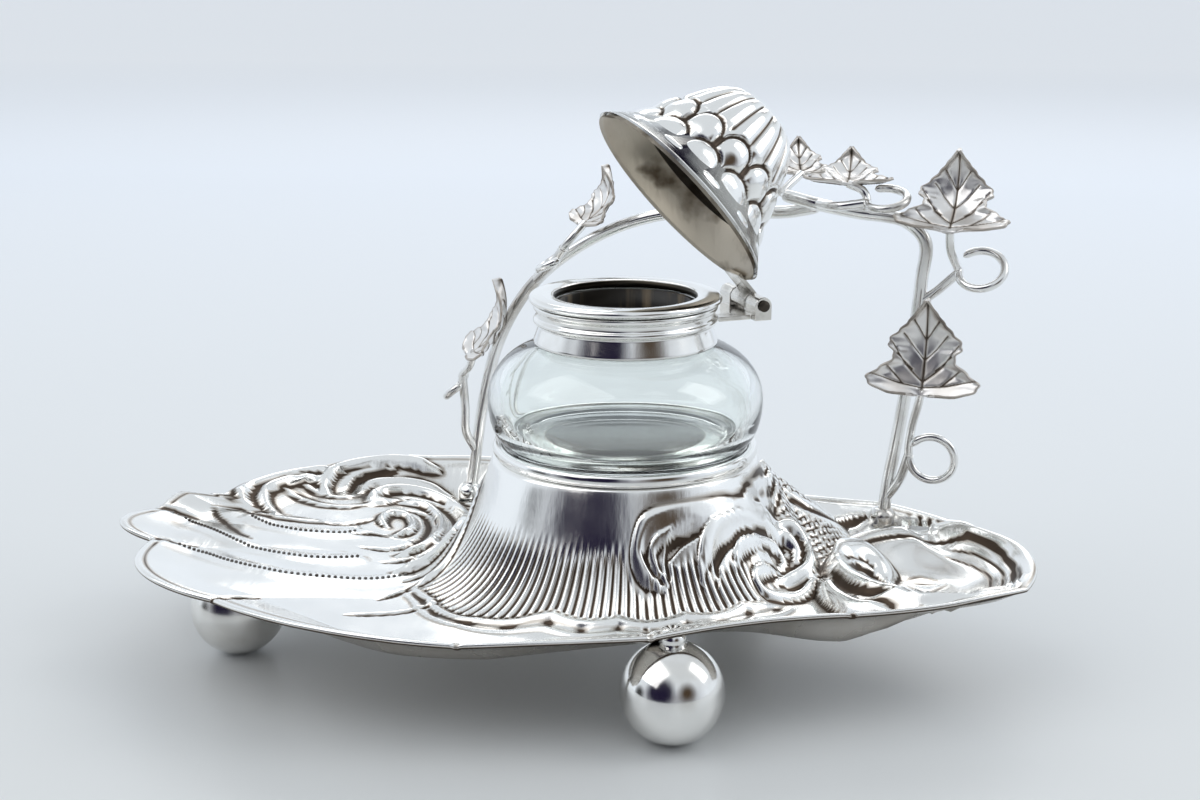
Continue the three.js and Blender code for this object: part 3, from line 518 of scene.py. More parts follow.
# chased ornament: each stroke's height (a groove's is negative), half width and places on the tray
shellStrokes = {
    "foldEdge": (-0.4, 0.7, [
        (-0.842, 0.333), (-0.83, 0.27), (-0.79, 0.19), (-0.73, 0.05), (-0.687, -0.014),
    ]),
    "shellLine": (-0.5, 0.6, [(-0.78, 0.32), (-0.72, 0.27), (-0.62, 0.24), (-0.52, 0.25), (-0.464, 0.36)]),
    "shellRib": (0.6, 0.7, [(-0.705, 0.534), (-0.67, 0.51), (-0.61, 0.45), (-0.55, 0.44), (-0.513, 0.51)]),
    "shellRibAbove": (0.6, 0.7, [
        (-0.68, 0.616), (-0.655, 0.6), (-0.616, 0.573), (-0.567, 0.563), (-0.545, 0.65),
    ]),
    "curlOuter": (1.8, 1.0, [
        (-0.777, 0.346), (-0.794, 0.4), (-0.789, 0.505), (-0.755, 0.61), (-0.703, 0.7), (-0.62, 0.77),
    ]),
    "curlGroove": (-1.0, 0.7, [
        (-0.747, 0.352), (-0.765, 0.413), (-0.76, 0.5), (-0.72, 0.6), (-0.665, 0.68),
    ]),
    "curlInner": (1.5, 0.85, [
        (-0.687, 0.298), (-0.732, 0.4), (-0.744, 0.467), (-0.724, 0.55), (-0.688, 0.625), (-0.64, 0.69),
    ]),
    "rimCurl": (1.8, 1.0, [
        (-0.602, 0.548), (-0.632, 0.656), (-0.627, 0.738), (-0.595, 0.81), (-0.53, 0.87), (-0.46, 0.905),
        (-0.386, 0.915),
    ]),
    "rimCurlGroove": (-1.2, 0.8, [(-0.571, 0.64), (-0.57, 0.74), (-0.539, 0.8), (-0.48, 0.85)]),
    "rimCurlInner": (1.4, 0.85, [
        (-0.545, 0.66), (-0.535, 0.74), (-0.48, 0.8), (-0.41, 0.84), (-0.346, 0.84),
    ]),
    "rimCurlLeaf": (1.3, 1.6, [(-0.5, 0.52), (-0.48, 0.6), (-0.455, 0.65)]),
    "acanthusThird": (1.4, 0.8, [
        (-0.31, 0.82), (-0.235, 0.66), (-0.19, 0.4), (-0.178, 0.17), (-0.19, -0.04), (-0.225, -0.18),
        (-0.29, -0.3),
    ]),
    "acanthusThirdGroove": (-0.9, 0.7, [
        (-0.3, 0.74), (-0.235, 0.53), (-0.207, 0.3), (-0.205, 0.12), (-0.222, -0.04), (-0.26, -0.16),
        (-0.31, -0.24),
    ]),
    "acanthusOuter": (2.2, 1.05, [
        (-0.508, 0.56), (-0.5, 0.68), (-0.455, 0.75), (-0.385, 0.77), (-0.32, 0.7), (-0.27, 0.55),
        (-0.24, 0.38), (-0.235, 0.2), (-0.25, 0.03), (-0.285, -0.09), (-0.34, -0.17),
    ]),
    "acanthusGroove": (-1.1, 0.7, [
        (-0.43, 0.69), (-0.36, 0.68), (-0.305, 0.56), (-0.275, 0.38), (-0.27, 0.2), (-0.285, 0.06),
        (-0.33, -0.05),
    ]),
    "acanthusSecond": (1.8, 0.85, [
        (-0.44, 0.62), (-0.39, 0.64), (-0.345, 0.57), (-0.312, 0.42), (-0.303, 0.25), (-0.315, 0.11),
        (-0.36, 0.0),
    ]),
    "acanthusSecondGroove": (-1.1, 0.7, [
        (-0.41, 0.56), (-0.375, 0.54), (-0.345, 0.42), (-0.337, 0.27), (-0.352, 0.14), (-0.4, 0.05),
    ]),
    "acanthusInner": (1.6, 0.8, [
        (-0.4, 0.22), (-0.375, 0.3), (-0.378, 0.4), (-0.405, 0.47), (-0.44, 0.45), (-0.447, 0.36),
        (-0.425, 0.3),
    ]),
    "acanthusFan": (-0.8, 0.7, [(-0.48, 0.16), (-0.445, 0.21), (-0.415, 0.21)]),
    "acanthusFanMiddle": (-0.8, 0.7, [(-0.445, 0.04), (-0.4, 0.06), (-0.37, 0.09)]),
    "acanthusFanLow": (-0.8, 0.7, [(-0.38, -0.07), (-0.34, -0.03), (-0.32, 0.02)]),
    "footLine": (-0.6, 0.6, [(-0.377, -0.631), (-0.28, -0.521), (-0.226, -0.458), (-0.182, -0.441)]),
    "footLineAbove": (-0.6, 0.6, [(-0.34, -0.43), (-0.29, -0.3), (-0.259, -0.204)]),
}
frontStrokes = {
    "scrollOuter": (2.0, 0.95, [
        (0.253, -0.542), (0.221, -0.534), (0.201, -0.511), (0.207, -0.481), (0.233, -0.45), (0.27, -0.41),
        (0.318, -0.356), (0.39, -0.24), (0.44, -0.1), (0.49, -0.01), (0.53, -0.02), (0.541, -0.06),
        (0.534, -0.14), (0.503, -0.2), (0.475, -0.252),
    ]),
    "scrollOuterGroove": (-0.9, 0.5, [
        (0.255, -0.53), (0.228, -0.522), (0.216, -0.5), (0.226, -0.47), (0.257, -0.433), (0.295, -0.39),
        (0.345, -0.32), (0.4, -0.2), (0.45, -0.08),
    ]),
    "scrollSecond": (1.5, 0.6, [
        (0.264, -0.527), (0.239, -0.514), (0.23, -0.49), (0.243, -0.46), (0.281, -0.416), (0.318, -0.369),
        (0.367, -0.291),
    ]),
    "scrollSecondGroove": (-1.5, 0.6, [
        (0.267, -0.508), (0.259, -0.484), (0.271, -0.449), (0.3, -0.402), (0.334, -0.354),
    ]),
    "scrollMain": (2.2, 0.95, [
        (0.328, -0.469), (0.328, -0.428), (0.343, -0.366), (0.372, -0.298), (0.414, -0.197),
        (0.455, -0.09), (0.485, -0.06), (0.508, -0.08), (0.51, -0.12),
    ]),
    "scrollMainGroove": (-1.6, 0.65, [
        (0.358, -0.44), (0.354, -0.39), (0.364, -0.344), (0.388, -0.279), (0.428, -0.18), (0.46, -0.11),
        (0.483, -0.1),
    ]),
    "scrollInner": (1.7, 0.7, [
        (0.39, -0.36), (0.397, -0.3), (0.418, -0.24), (0.445, -0.165), (0.472, -0.13), (0.485, -0.15),
        (0.478, -0.185),
    ]),
    "scrollOval": (1.2, 2.0, [(0.43, -0.27), (0.45, -0.21)]),
    "curlFoot": (1.5, 0.7, [
        (0.477, -0.21), (0.448, -0.264), (0.433, -0.319), (0.45, -0.345), (0.49, -0.305), (0.53, -0.23),
        (0.553, -0.14),
    ]),
    "spurRib": (1.3, 0.7, [(0.397, -0.21), (0.42, -0.1), (0.44, 0.06), (0.447, 0.2)]),
    "spurGroove": (-0.8, 0.6, [(0.409, -0.18), (0.431, -0.05), (0.45, 0.07), (0.456, 0.18)]),
    "spurRibRight": (1.1, 0.8, [(0.42, -0.144), (0.441, 0.001), (0.463, 0.16)]),
    "spurEdge": (-1.0, 0.8, [(0.466, 0.21), (0.494, 0.19), (0.537, 0.21), (0.604, 0.32), (0.657, 0.41)]),
    "basinCurl": (2.4, 2.1, [(0.585, -0.06), (0.615, 0.02), (0.655, 0.06), (0.69, 0.03), (0.7, -0.05)]),
    "basinHollow": (-3.2, 2.4, [(0.63, -0.14), (0.66, -0.09), (0.685, -0.17)]),
    "basinFold": (1.6, 1.1, [(0.56, -0.17), (0.585, -0.3), (0.63, -0.4), (0.69, -0.45)]),
    "basinFoldGroove": (-1.0, 0.8, [(0.585, -0.17), (0.61, -0.28), (0.65, -0.35), (0.7, -0.39)]),
    "dishLeafBack": (-0.2, 0.6, [(0.73, 0.0), (0.77, 0.06), (0.83, 0.01)]),
    "dishLeafFront": (-0.2, 0.6, [(0.73, -0.02), (0.78, -0.09), (0.83, 0.01)]),
    "dishLeafVein": (-0.2, 0.6, [(0.735, -0.01), (0.81, -0.01)]),
}
beadLines = {
    "low": [
        (-0.874, -0.14), (-0.773, -0.19), (-0.681, -0.296), (-0.604, -0.354), (-0.534, -0.38),
        (-0.409, -0.294), (-0.3, -0.155),
    ],
    "second": [
        (-0.942, 0.2), (-0.89, 0.18), (-0.823, 0.096), (-0.705, -0.063), (-0.597, -0.157),
        (-0.528, -0.171), (-0.47, -0.12), (-0.42, -0.04),
    ],
    "third": [
        (-0.758, 0.283), (-0.707, 0.212), (-0.641, 0.149), (-0.576, 0.12), (-0.512, 0.144), (-0.47, 0.22),
    ],
}
strokeForm = {"clear": 2.6, "fade": 2, "taper": 5, "least": 0.3, "round": 0.75, "bold": 1}
creaseForm = {"length": 10, "depth": -0.8, "width": 1.0, "start": 0.99, "highest": 0.5}
rimLine = {"inside": 2.2, "depth": 0.16, "width": 0.6}
fluteForm = {
    "count": 140,
    "depth": 0.42,
    "start": 33,
    "fade": 3.5,
    "end": 41.5,
    "longer": 6,  # towards the shell
    "fan": 0.0086,
    "fanFrom": -75,
    "fanRadius": 36,
    "scallops": 10,
    "scallop": 0.9,
    "front": (-158, -22),
    "lines": ((0.5, 0.9, 0.6), (0.35, 3.7, 0.6)),  # height, place past the flutes, half width
    "knots": (-0.45, 2.2, 0.7),
    "knotPower": 24,
}
trellisForm = {"middle": (0.51, 0.12), "reach": 9, "pitch": 1.9, "depth": 0.32, "lean": 0.9, "start": 31}
beadForm = {
    "pitch": 1.35,
    "radius": 0.46,
    "lift": 0.12,
    "flat": 0.7,
    "fromRim": 3,
    "fade": 3,
    "swell": (0.5, 2.4),  # height and half width
    "groove": (-0.12, 0.7),
}


def ridge(away, width):  # 1 on the line, fading to 0 beside it
    return np.exp(-((away / width) ** 2))


def faded(along, total, run):  # 0 at both ends of a path, 1 between them
    return smoothstep(along / run) * smoothstep((total - along) / run)


def strokeHeight(x, y, height, width, path):  # a stroke's height, and where it covers finer work
    form = strokeForm
    reach = 3 * width + 3
    low, high = path.min(axis=0) - reach, path.max(axis=0) + reach
    near = (x > low[0]) & (x < high[0]) & (y > low[1]) & (y < high[1])
    away, along, total = toPath(x[near], y[near], path)
    taper = smoothstep(along / form["taper"] + 0.1) * smoothstep((total - along) / form["taper"] + 0.1)
    wide = 1.5 * width * (0.5 + 0.5 * taper)
    tall = height * (form["least"] + (1 - form["least"]) * taper)
    raised, covered = np.zeros(len(x)), np.zeros(len(x))
    raised[near] = tall * np.clip(1 - (away / wide) ** 2, 0, 1) ** form["round"]
    covered[near] = taper * smoothstep((width + form["clear"] - away) / form["fade"])
    return raised, covered


def allStrokes(x, y):  # what the strokes raise, what they sink, and where they cover finer work
    raised, sunk, covered = np.zeros(len(x)), np.zeros(len(x)), np.zeros(len(x))
    for height, width, shares in [*shellStrokes.values(), *frontStrokes.values()]:
        stroke, under = strokeHeight(x, y, height, width, roundPath(shares))
        raised = np.maximum(raised, stroke)
        sunk = np.minimum(sunk, stroke)
        if abs(height) >= strokeForm["bold"]:
            covered = np.maximum(covered, under)
    for lobe in rimLobes:  # a crease runs in from every low notch of the rim
        if lobe[2] > creaseForm["highest"]:
            continue
        notch = trayPlace(*lobe[:2])
        inner = notch * (1 - creaseForm["length"] / np.hypot(*notch))
        path = np.array((notch * creaseForm["start"], inner))
        sunk = np.minimum(sunk, strokeHeight(x, y, creaseForm["depth"], creaseForm["width"], path)[0])
    return raised, sunk, covered


def fluting(out, angle, inward, covered):  # the fan of flutes, with a scalloped and knotted band at its foot
    form = fluteForm
    fanned = (angle - form["fanFrom"]) / (1 + form["fan"] * (out - form["fanRadius"]))
    scallop = np.radians(form["scallops"] * fanned)
    end = form["end"] + form["longer"] * smoothstep((-105 - angle) / 25)
    end = end + form["scallop"] * np.abs(np.cos(scallop))
    first, last = form["front"]
    shown = smoothstep((angle - first) / 10) * smoothstep((last - angle) / 14)
    shown = shown * (1 - covered) * smoothstep((inward - 3) / 2)
    within = smoothstep((out - form["start"]) / form["fade"]) * smoothstep((end - out) / 0.8)
    chased = form["depth"] * np.cos(np.radians(form["count"] * fanned)) * within
    for height, past, width in form["lines"]:
        chased += height * ridge(out - end - past, width)
    height, past, width = form["knots"]
    knotted = np.cos(scallop) ** form["knotPower"] + np.sin(scallop) ** form["knotPower"]
    return (chased + height * knotted * ridge(out - end - past, width)) * shown


def beading(x, y, covered):  # a swell under each row of beads, with a fine groove in it
    chased = np.zeros(len(x))
    for shares in beadLines.values():
        away, along, total = toPath(x, y, roundPath(shares))
        for height, width in (beadForm["swell"], beadForm["groove"]):
            chased += height * ridge(away, width) * faded(along, total, beadForm["fade"])
    return chased * (1 - covered)


def trellis(x, y, out, covered):  # crossing cuts on the ridge beside the dome
    form = trellisForm
    middle = trayPlace(*form["middle"])
    panel = smoothstep(1.9 - 1.2 * np.hypot(x - middle[0], y - middle[1]) / form["reach"])
    leans = (form["lean"], -form["lean"])
    cuts = [np.cos(math.pi * (x + lean * y) / form["pitch"]) ** 8 for lean in leans]
    return -form["depth"] * np.maximum(*cuts) * panel * (1 - covered) * smoothstep((out - form["start"]) / 2)


def dishLines(x, y, inward, covered):  # the dish's ring, the lines inside it and the ribs outside it
    form = basinForm
    out = np.hypot(x - form["x"], y - form["y"])
    turn = np.degrees(np.arctan2(y - form["y"], x - form["x"]))
    height, width = form["ring"]
    chased = height * ridge(out - form["radius"], width) * (1 - 0.7 * covered)
    height, width = form["groove"]
    chased += height * ridge(out - form["radius"] + form["grooveInside"], width) * (1 - covered)
    height, width = form["line"]
    atRight = smoothstep((form["lineSpan"] - np.abs(turn - form["lineMiddle"])) / 20)
    for radius in form["lineRadii"]:
        chased += height * ridge(out - radius, width) * atRight
    band = smoothstep((out - form["gadroonStart"]) / 1.5) * smoothstep((inward - 1.5) / 1.5)
    band = band * smoothstep((x - 62) / 10) * (1 - covered)
    return chased + form["gadroonHeight"] * np.cos(np.radians(form["gadroons"] * turn)) * band


def chasedHeight(x, y):
    out = np.hypot(x, y)
    angle = np.degrees(np.arctan2(y, x))
    inward = rimAt(np.radians(angle))[0] - out
    raised, sunk, covered = allStrokes(x, y)
    chased = fluting(out, angle, inward, covered) + beading(x, y, covered)
    chased += trellis(x, y, out, covered) + dishLines(x, y, inward, covered)
    chased -= rimLine["depth"] * ridge(inward - rimLine["inside"], rimLine["width"])
    offSeat = smoothstep((out - trayForm["domeRadius"] - 0.9) / 2)
    return (raised * smoothstep(inward / 4) + sunk + chased) * offSeat


def discMesh(name, sheet, facing):  # a flat disc of radius 1, and each point's ring, column and angle
    shares = np.linspace(0, 1, sheet["rings"] + 1)
    bm = turned([(share, 0) for share in shares], sheet["columns"])
    if next(iter(bm.faces)).normal.z * facing < 0:
        bmesh.ops.reverse_faces(bm, faces=bm.faces[:])
    mesh = meshFrom(name, bm)
    flat = getPoints(mesh)
    ring = np.rint(np.hypot(flat[:, 0], flat[:, 1]) * sheet["rings"]).astype(int)
    angle = np.arctan2(flat[:, 1], flat[:, 0])
    column = np.rint(angle / tau * sheet["columns"]).astype(int) % sheet["columns"]
    return mesh, ring, column, angle


# how dark the tray top is made: patina by the depth of its hollows (deepest, highest, scales), a darker disc
# on the seat (seat), and painted shade under the rolled edge (edge, edgeTurn, edgeRun)
recessForm = {
    "deepest": -0.9,
    "highest": 0.6,
    "scales": ((2, 0.17, 1), (5, 1.0, 0.35)),  # reach in rings and columns, full depth, strongest
    "seat": 0.75,
    "edge": 0.95,
    "edgeTurn": 70,
    "edgeRun": 50,
}


def hollowness(height, ring, column, sheet):  # how far each point lies under its surroundings
    grid = np.zeros((sheet["rings"] + 1, sheet["columns"]))
    grid[ring, column] = np.clip(height, recessForm["deepest"], recessForm["highest"])
    grid[0] = grid[0, column[ring == 0][0]]
    deepest = np.zeros(len(height))
    for reach, full, most in recessForm["scales"]:
        wide = 2 * reach + 1
        smooth = sum(np.roll(grid, step, axis=1) for step in range(-reach, reach + 1)) / wide
        padded = np.pad(smooth, ((reach, reach), (0, 0)), mode="edge")
        smooth = sum(padded[step : step + len(grid)] for step in range(wide)) / wide
        deepest = np.maximum(deepest, np.clip((smooth - grid)[ring, column] / full, 0, most))
    return deepest


def makeTrayTop():  # rings on the flat seat, then out to the rim, then round the rolled edge
    form, sheet = trayForm, traySheet
    mesh, ring, column, angle = discMesh("trayTop", sheet, 1)
    # more columns in front, where the camera sees them
    angle = angle - sheet["crowded"] * np.sin(angle - math.radians(sheet["crowdedAt"]))
    seatRings = sheet["seatRings"]
    spread = sheet["rings"] - seatRings - sheet["rollRings"]
    share = np.clip((ring - seatRings) / spread, 0, 1)
    edge = rimAt(angle)[0] - form["roll"]
    beyond = form["domeRadius"] + (edge - form["domeRadius"]) * share * (0.9 + 0.1 * share)
    seatRadii = (0, form["stain"], form["stain"] + 0.6, form["domeRadius"])
    out = np.where(ring < seatRings, np.interp(ring, (0, 3, 4, seatRings), seatRadii), beyond)
    x, y = out * np.cos(angle), out * np.sin(angle)
    chased = chasedHeight(x, y)
    rolled = np.clip((ring - seatRings - spread) / sheet["rollRings"], 0, 1) * form["rollTurn"]
    height = plainHeight(x, y) + chased - form["roll"] * (1 - np.cos(np.radians(rolled)))
    out = out + form["roll"] * np.sin(np.radians(rolled))
    setPoints(mesh, inFrame(out * np.cos(angle), out * np.sin(angle), height))
    patinaAndShade = hollowness(chased, ring, column, sheet)
    # the seat is made darker within this radius
    patinaAndShade = np.where(out < form["stain"] + 0.1, recessForm["seat"], patinaAndShade)
    # painted shade under the rolled edge, where it turns under
    underEdge = smoothstep((rolled - recessForm["edgeTurn"]) / recessForm["edgeRun"])
    addAttribute(mesh, "patinaAndShade", np.maximum(patinaAndShade, underEdge * recessForm["edge"]))
    addPiece("trayTop", mesh, chasedSilver, "base", ["tray"])


def makeTrayUnder():  # the under side, a sheet's thickness below the plain upper face
    form, sheet = trayForm, trayUnder
    mesh, ring, column, angle = discMesh("trayUnder", sheet, -1)
    share = ring / sheet["rings"]
    out = share * (rimAt(angle)[0] - 0.9 * form["roll"])
    x, y = out * np.cos(angle), out * np.sin(angle)
    step = 0.4
    slopeX = (plainHeight(x + step, y) - plainHeight(x - step, y)) / (2 * step)
    slopeY = (plainHeight(x, y + step) - plainHeight(x, y - step)) / (2 * step)
    steep = np.clip(np.sqrt(1 + slopeX**2 + slopeY**2), 1, form["steepest"])
    drop = form["underDrop"] + (form["edgeDrop"] - form["underDrop"]) * smoothstep((share - 0.85) / 0.13)
    setPoints(mesh, inFrame(x, y, plainHeight(x, y) - drop * steep))
    # painted shade: the whole under side is darkened
    addAttribute(mesh, "patinaAndShade", np.full(len(x), form["underShade"]))
    addPiece("trayUnder", mesh, chasedSilver, "base", ["tray"])


makeTrayTop()
makeTrayUnder()
say("tray")


def makeBeads():
    bm = bmesh.new()
    for shares in beadLines.values():
        path = roundPath(shares, 24)
        lengths = np.concatenate(([0], np.cumsum(np.hypot(*np.diff(path, axis=0).T))))
        reach = np.arange(3, lengths[-1] - 2, beadForm["pitch"])
        x, y = np.interp(reach, lengths, path[:, 0]), np.interp(reach, lengths, path[:, 1])
        inward = rimAt(np.arctan2(y, x))[0] - np.hypot(x, y)
        height = plainHeight(x, y) + chasedHeight(x, y) + beadForm["lift"]
        for spot in np.column_stack((x, y, height))[inward > beadForm["fromRim"]]:
            place = Matrix.Translation(spot) @ Matrix.Diagonal((1, 1, beadForm["flat"], 1))
            bmesh.ops.create_icosphere(bm, subdivisions=1, radius=beadForm["radius"], matrix=place)
    toFrame(bm)
    addPiece("trayBeads", meshFrom("trayBeads", bm), darkSilver, "base")


makeBeads()
say("beads")


# ball feet, cut flat where they stand, each with a neck up to the tray
footForm = {
    "radius": 10.8,
    "centre": 10.65,
    "segments": 72,
    "rings": 40,
    "neck": (3.2, 2.2),
    "neckSink": 0.93,
    "neckDrop": 1.8,
}


def makeFoot(node):
    form = footForm
    low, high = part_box(node)
    x, y = (low[0] + high[0]) / 2, (low[1] + high[1]) / 2
    centre = Matrix.Translation((x, y, form["centre"] * mm))
    bm = bmesh.new()
    bmesh.ops.create_uvsphere(
        bm, u_segments=form["segments"], v_segments=form["rings"], radius=form["radius"] * mm, matrix=centre
    )
    whole = bm.verts[:] + bm.edges[:] + bm.faces[:]
    cut = bmesh.ops.bisect_plane(bm, geom=whole, plane_co=(0, 0, 0), plane_no=(0, 0, -1), clear_outer=True)
    rimEdges = [item for item in cut["geom_cut"] if isinstance(item, bmesh.types.BMEdge)]
    bmesh.ops.edgeloop_fill(bm, edges=rimEdges)
    neckTop = high[2] - form["neckDrop"] * mm
    neckLow = (form["centre"] + form["radius"] * form["neckSink"]) * mm
    neck = Matrix.Translation((x, y, (neckTop + neckLow) / 2))
    lower, upper = (radius * mm for radius in form["neck"])
    bmesh.ops.create_cone(
        bm, cap_ends=True, segments=40, radius1=lower, radius2=upper, depth=neckTop - neckLow, matrix=neck
    )
    name = node.replace("foot", "ballFoot")
    addPiece(name, meshFrom(name, bm), polishedSilver, "base", [node])


for node in ("foot_front", "foot_left", "foot_back"):
    makeFoot(node)
say("feet")


# seat ring, glass well, collar and rim plate, all turned on the well's axis
def turnedPiece(name, profile, steps, finish, body, replaced=()):
    bm = turned(profile, steps)
    toFrame(bm)
    return addPiece(name, meshFrom(name, bm), finish, body, replaced)


def heights(box):  # where a node's box starts and ends, in millimetres
    low, high = box
    return low[2] / mm, high[2] / mm


seatForm = {"inner": 27.7, "outer": 29.6, "bulge": 30.0, "bulgeUp": 1.1, "round": 0.7}
seatBase, seatTop = heights(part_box("seat_ring"))
seatProfile = [
    (seatForm["inner"], seatBase),
    (seatForm["outer"], seatBase),
    (seatForm["bulge"], seatBase + seatForm["bulgeUp"]),
    (seatForm["outer"], seatTop),
    (seatForm["inner"], seatTop),
]
seatProfile = softened(seatProfile, seatForm["round"])
turnedPiece("seatRing", seatProfile, 160, polishedSilver, "base", ["seat_ring"])

glassForm = {
    "base": wellLow[2] / mm,
    "foot": 27.3,
    "footRound": 1.2,
    "kick": 0.5,
    "widest": 30.9,
    "equator": 12.4,
    "heel": 3.2,
    "shoulder": 25,
    "height": 34,
    "neck": 17,
    "neckWall": 2.6,
    "neckRound": 0.6,
    "wall": 2.8,
    "bottom": 4.2,
    "arc": 18,
}


def glassArc(widest, radius, height, above):  # a quarter ellipse on the widest place, above or below it
    g = glassForm
    rows = []
    for step in range(1, g["arc"] + 1):
        angle = math.pi / 2 * step / g["arc"]
        out, up = (math.cos(angle), math.sin(angle)) if above else (math.sin(angle), math.cos(angle))
        rise = g["equator"] + (height - g["equator"]) * up
        rows.append((radius + (widest - radius) * out, g["base"] + rise))
    return rows


def glassProfile():  # up the outside, round the lip and down the inside
    g = glassForm
    base, foot, neck, edge = g["base"], g["foot"], g["neck"], g["neckRound"]
    inner, innerWidest, innerFoot = neck - g["neckWall"], g["widest"] - g["wall"], foot - g["bottom"]
    top = base + g["height"]
    rows = [(0, base + g["kick"]), (foot - 4, base + 0.3), (foot - g["footRound"], base)]
    rows += [(foot, base + g["footRound"])]
    rows += glassArc(g["widest"], foot, g["heel"], False) + glassArc(g["widest"], neck, g["shoulder"], True)
    rows += [(neck, top - edge), (neck - edge, top), (inner + edge, top), (inner, top - edge)]
    rows += reversed(glassArc(innerWidest, inner, g["shoulder"] - g["wall"] / 2, True))
    rows += reversed(glassArc(innerWidest, innerFoot, g["bottom"], False))
    return rows + [(innerFoot * 0.8, base + g["bottom"] + 0.05), (0, base + g["bottom"] - 0.1)]


turnedPiece("glassWell", glassProfile(), 160, wellGlass, "well", ["glass_well"])

collarForm = {"inner": 18.4, "outer": 20.5, "waist": 19.3, "neck": 19.9, "round": 0.45}
collarBase, collarTop = heights(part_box("collar"))
collarProfile = [
    (collarForm["inner"], collarBase),
    (collarForm["outer"], collarBase),
    (collarForm["outer"], collarBase + 0.6),
    (collarForm["waist"], collarBase + 3.8),
    (collarForm["waist"], collarBase + 4.2),
    (collarForm["outer"], collarBase + 4.7),
    (collarForm["outer"], collarBase + 5.5),
    (collarForm["neck"], collarBase + 6.0),
    (collarForm["neck"], collarTop - 1.6),
    (collarForm["outer"], collarTop - 0.9),
    (collarForm["outer"], collarTop),
    (collarForm["inner"], collarTop),
]
collarProfile = softened(collarProfile, collarForm["round"], 3)
turnedPiece("neckCollar", collarProfile, 160, polishedSilver, "well", ["collar"])

plateForm = {"inner": 15.6, "outer": 21.0, "bulge": 21.6, "crown": 18.5, "round": 0.5, "darkWithin": 16}
plateBase, plateTop = heights(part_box("rim_plate"))
plateProfile = [
    (plateForm["inner"], plateBase),
    (plateForm["outer"], plateBase),
    (plateForm["bulge"], plateBase + 0.9),
    (plateForm["outer"], plateTop - 0.2),
    (plateForm["crown"], plateTop),
    (plateForm["inner"] + 0.6, plateTop - 0.25),
    (plateForm["inner"], plateTop - 0.9),
]
plateProfile = softened(plateProfile, plateForm["round"])
plate = turnedPiece("mouthRim", plateProfile, 160, rimSilver, "well", ["rim_plate"])
platePoints = getPoints(plate.data) / mm
fromAxis = np.hypot(platePoints[:, 0] - wellX, platePoints[:, 1] - wellY)
# the plate's inner wall below its top is made darker
darkWall = (fromAxis < plateForm["darkWithin"]) & (platePoints[:, 2] < plateTop - 0.5)
addAttribute(plate.data, "patinaAndShade", darkWall)

inkForm = {"radius": 14.3, "film": 0.2, "lip": 15.5, "clear": 0.03}
inkTop = glassForm["base"] + glassForm["height"] + inkForm["clear"]
inkProfile = [  # ink dried on the neck's inner wall and over its lip
    (inkForm["radius"] - inkForm["film"], collarBase),
    (inkForm["radius"], collarBase),
    (inkForm["radius"], inkTop),
    (inkForm["lip"], inkTop),
    (inkForm["lip"], inkTop + inkForm["film"]),
    (inkForm["radius"] - inkForm["film"], inkTop + inkForm["film"]),
]
turnedPiece("driedInk", inkProfile, 96, driedInk, "well")
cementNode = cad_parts["collar_cement"]
cementNode.data.materials.clear()
cementNode.data.materials.append(neckCement)
say("well")


# hinge: the CAD pieces, merged and with their edges rounded
hingeForm = {"merge": 1e-6, "flat": 2, "sharp": 28, "edge": 0.18, "pinEdge": 0.1}


def softenedCopy(node, name, finish, body, width):
    bm = bmesh.new()
    bm.from_mesh(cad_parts[node].data)
    bmesh.ops.remove_doubles(bm, verts=bm.verts[:], dist=hingeForm["merge"])
    flat = math.radians(hingeForm["flat"])
    bmesh.ops.dissolve_limit(bm, angle_limit=flat, verts=bm.verts[:], edges=bm.edges[:])
    sharp = math.radians(hingeForm["sharp"])
    edges = [e for e in bm.edges if len(e.link_faces) == 2 and e.calc_face_angle(0) > sharp]
    rounding = {"segments": 2, "profile": 0.5, "affect": "EDGES", "clamp_overlap": True, "material": -1}
    bmesh.ops.bevel(bm, geom=edges, offset=width * mm, **rounding)
    addPiece(name, meshFrom(name, bm, smooth=False), finish, body, [node])


softenedCopy("hinge_base_leaf", "hingeBracket", hingeSilver, "well", hingeForm["edge"])
softenedCopy("hinge_pin", "hingePin", pinSilver, "well", hingeForm["pinEdge"])
softenedCopy("hinge_lid_leaf", "hingeTongue", hingeSilver, "lid", hingeForm["edge"])
say("hinge")


# bell lid, drawn shut about its own axis, then swung open with the lid's frame
bellForm = {
    "lip": 24.8,
    "height": 27.6,
    "wall": 0.8,
    "reach": 29.2,
    "turn": 28,
    "opening": 50,
    "mouth": 2.3,
    "columns": 360,
    "rows": 100,
    "liningColumns": 120,
    "liningRows": 30,
    "fineRows": 200,
    "smoothing": 40,
    "hollow": 0.32,
    "beside": 0.06,
    "above": 0.04,
}
bellProfile = [  # radius and height, in shares of the lip's radius and of the height
    (1, 0),
    (0.985, 0.012),
    (0.95, 0.035),
    (0.885, 0.085),
    (0.8, 0.17),
    (0.72, 0.29),
    (0.665, 0.43),
    (0.61, 0.57),
    (0.535, 0.72),
    (0.44, 0.86),
    (0.33, 0.95),
    (0.17, 0.99),
    (0.0, 1.0),
]
bellRelief = {
    "panels": 12,
    "fluteHeight": 0.9,
    "flutesPerPanel": 0.75,
    "fluteRound": 0.6,
    "fluteSink": 0.6,
    "fluteStart": 0.53,
    "fluteEnd": 0.965,
    "fade": 0.05,
    "ditchAt": 1.06,
    "ditchWidth": 0.12,
    "ditchDepth": 0.55,
    "smallDitch": 0.6,
    "lines": ((0.35, 0.06, 0.01), (0.3, 0.03, 0.008)),  # height, place and half width
}
bellPetals = {
    "upper": {"height": 1.15, "beside": 0, "centre": 0.42, "wide": 0.43, "tall": 0.13, "foot": 0.24},
    "lower": {"height": 1.05, "beside": 0.5, "centre": 0.22, "wide": 0.43, "tall": 0.11, "foot": 0.08},
    "small": {"height": 0.8, "beside": 0, "centre": 0.1, "wide": 0.3, "tall": 0.05, "foot": 0.05},
}


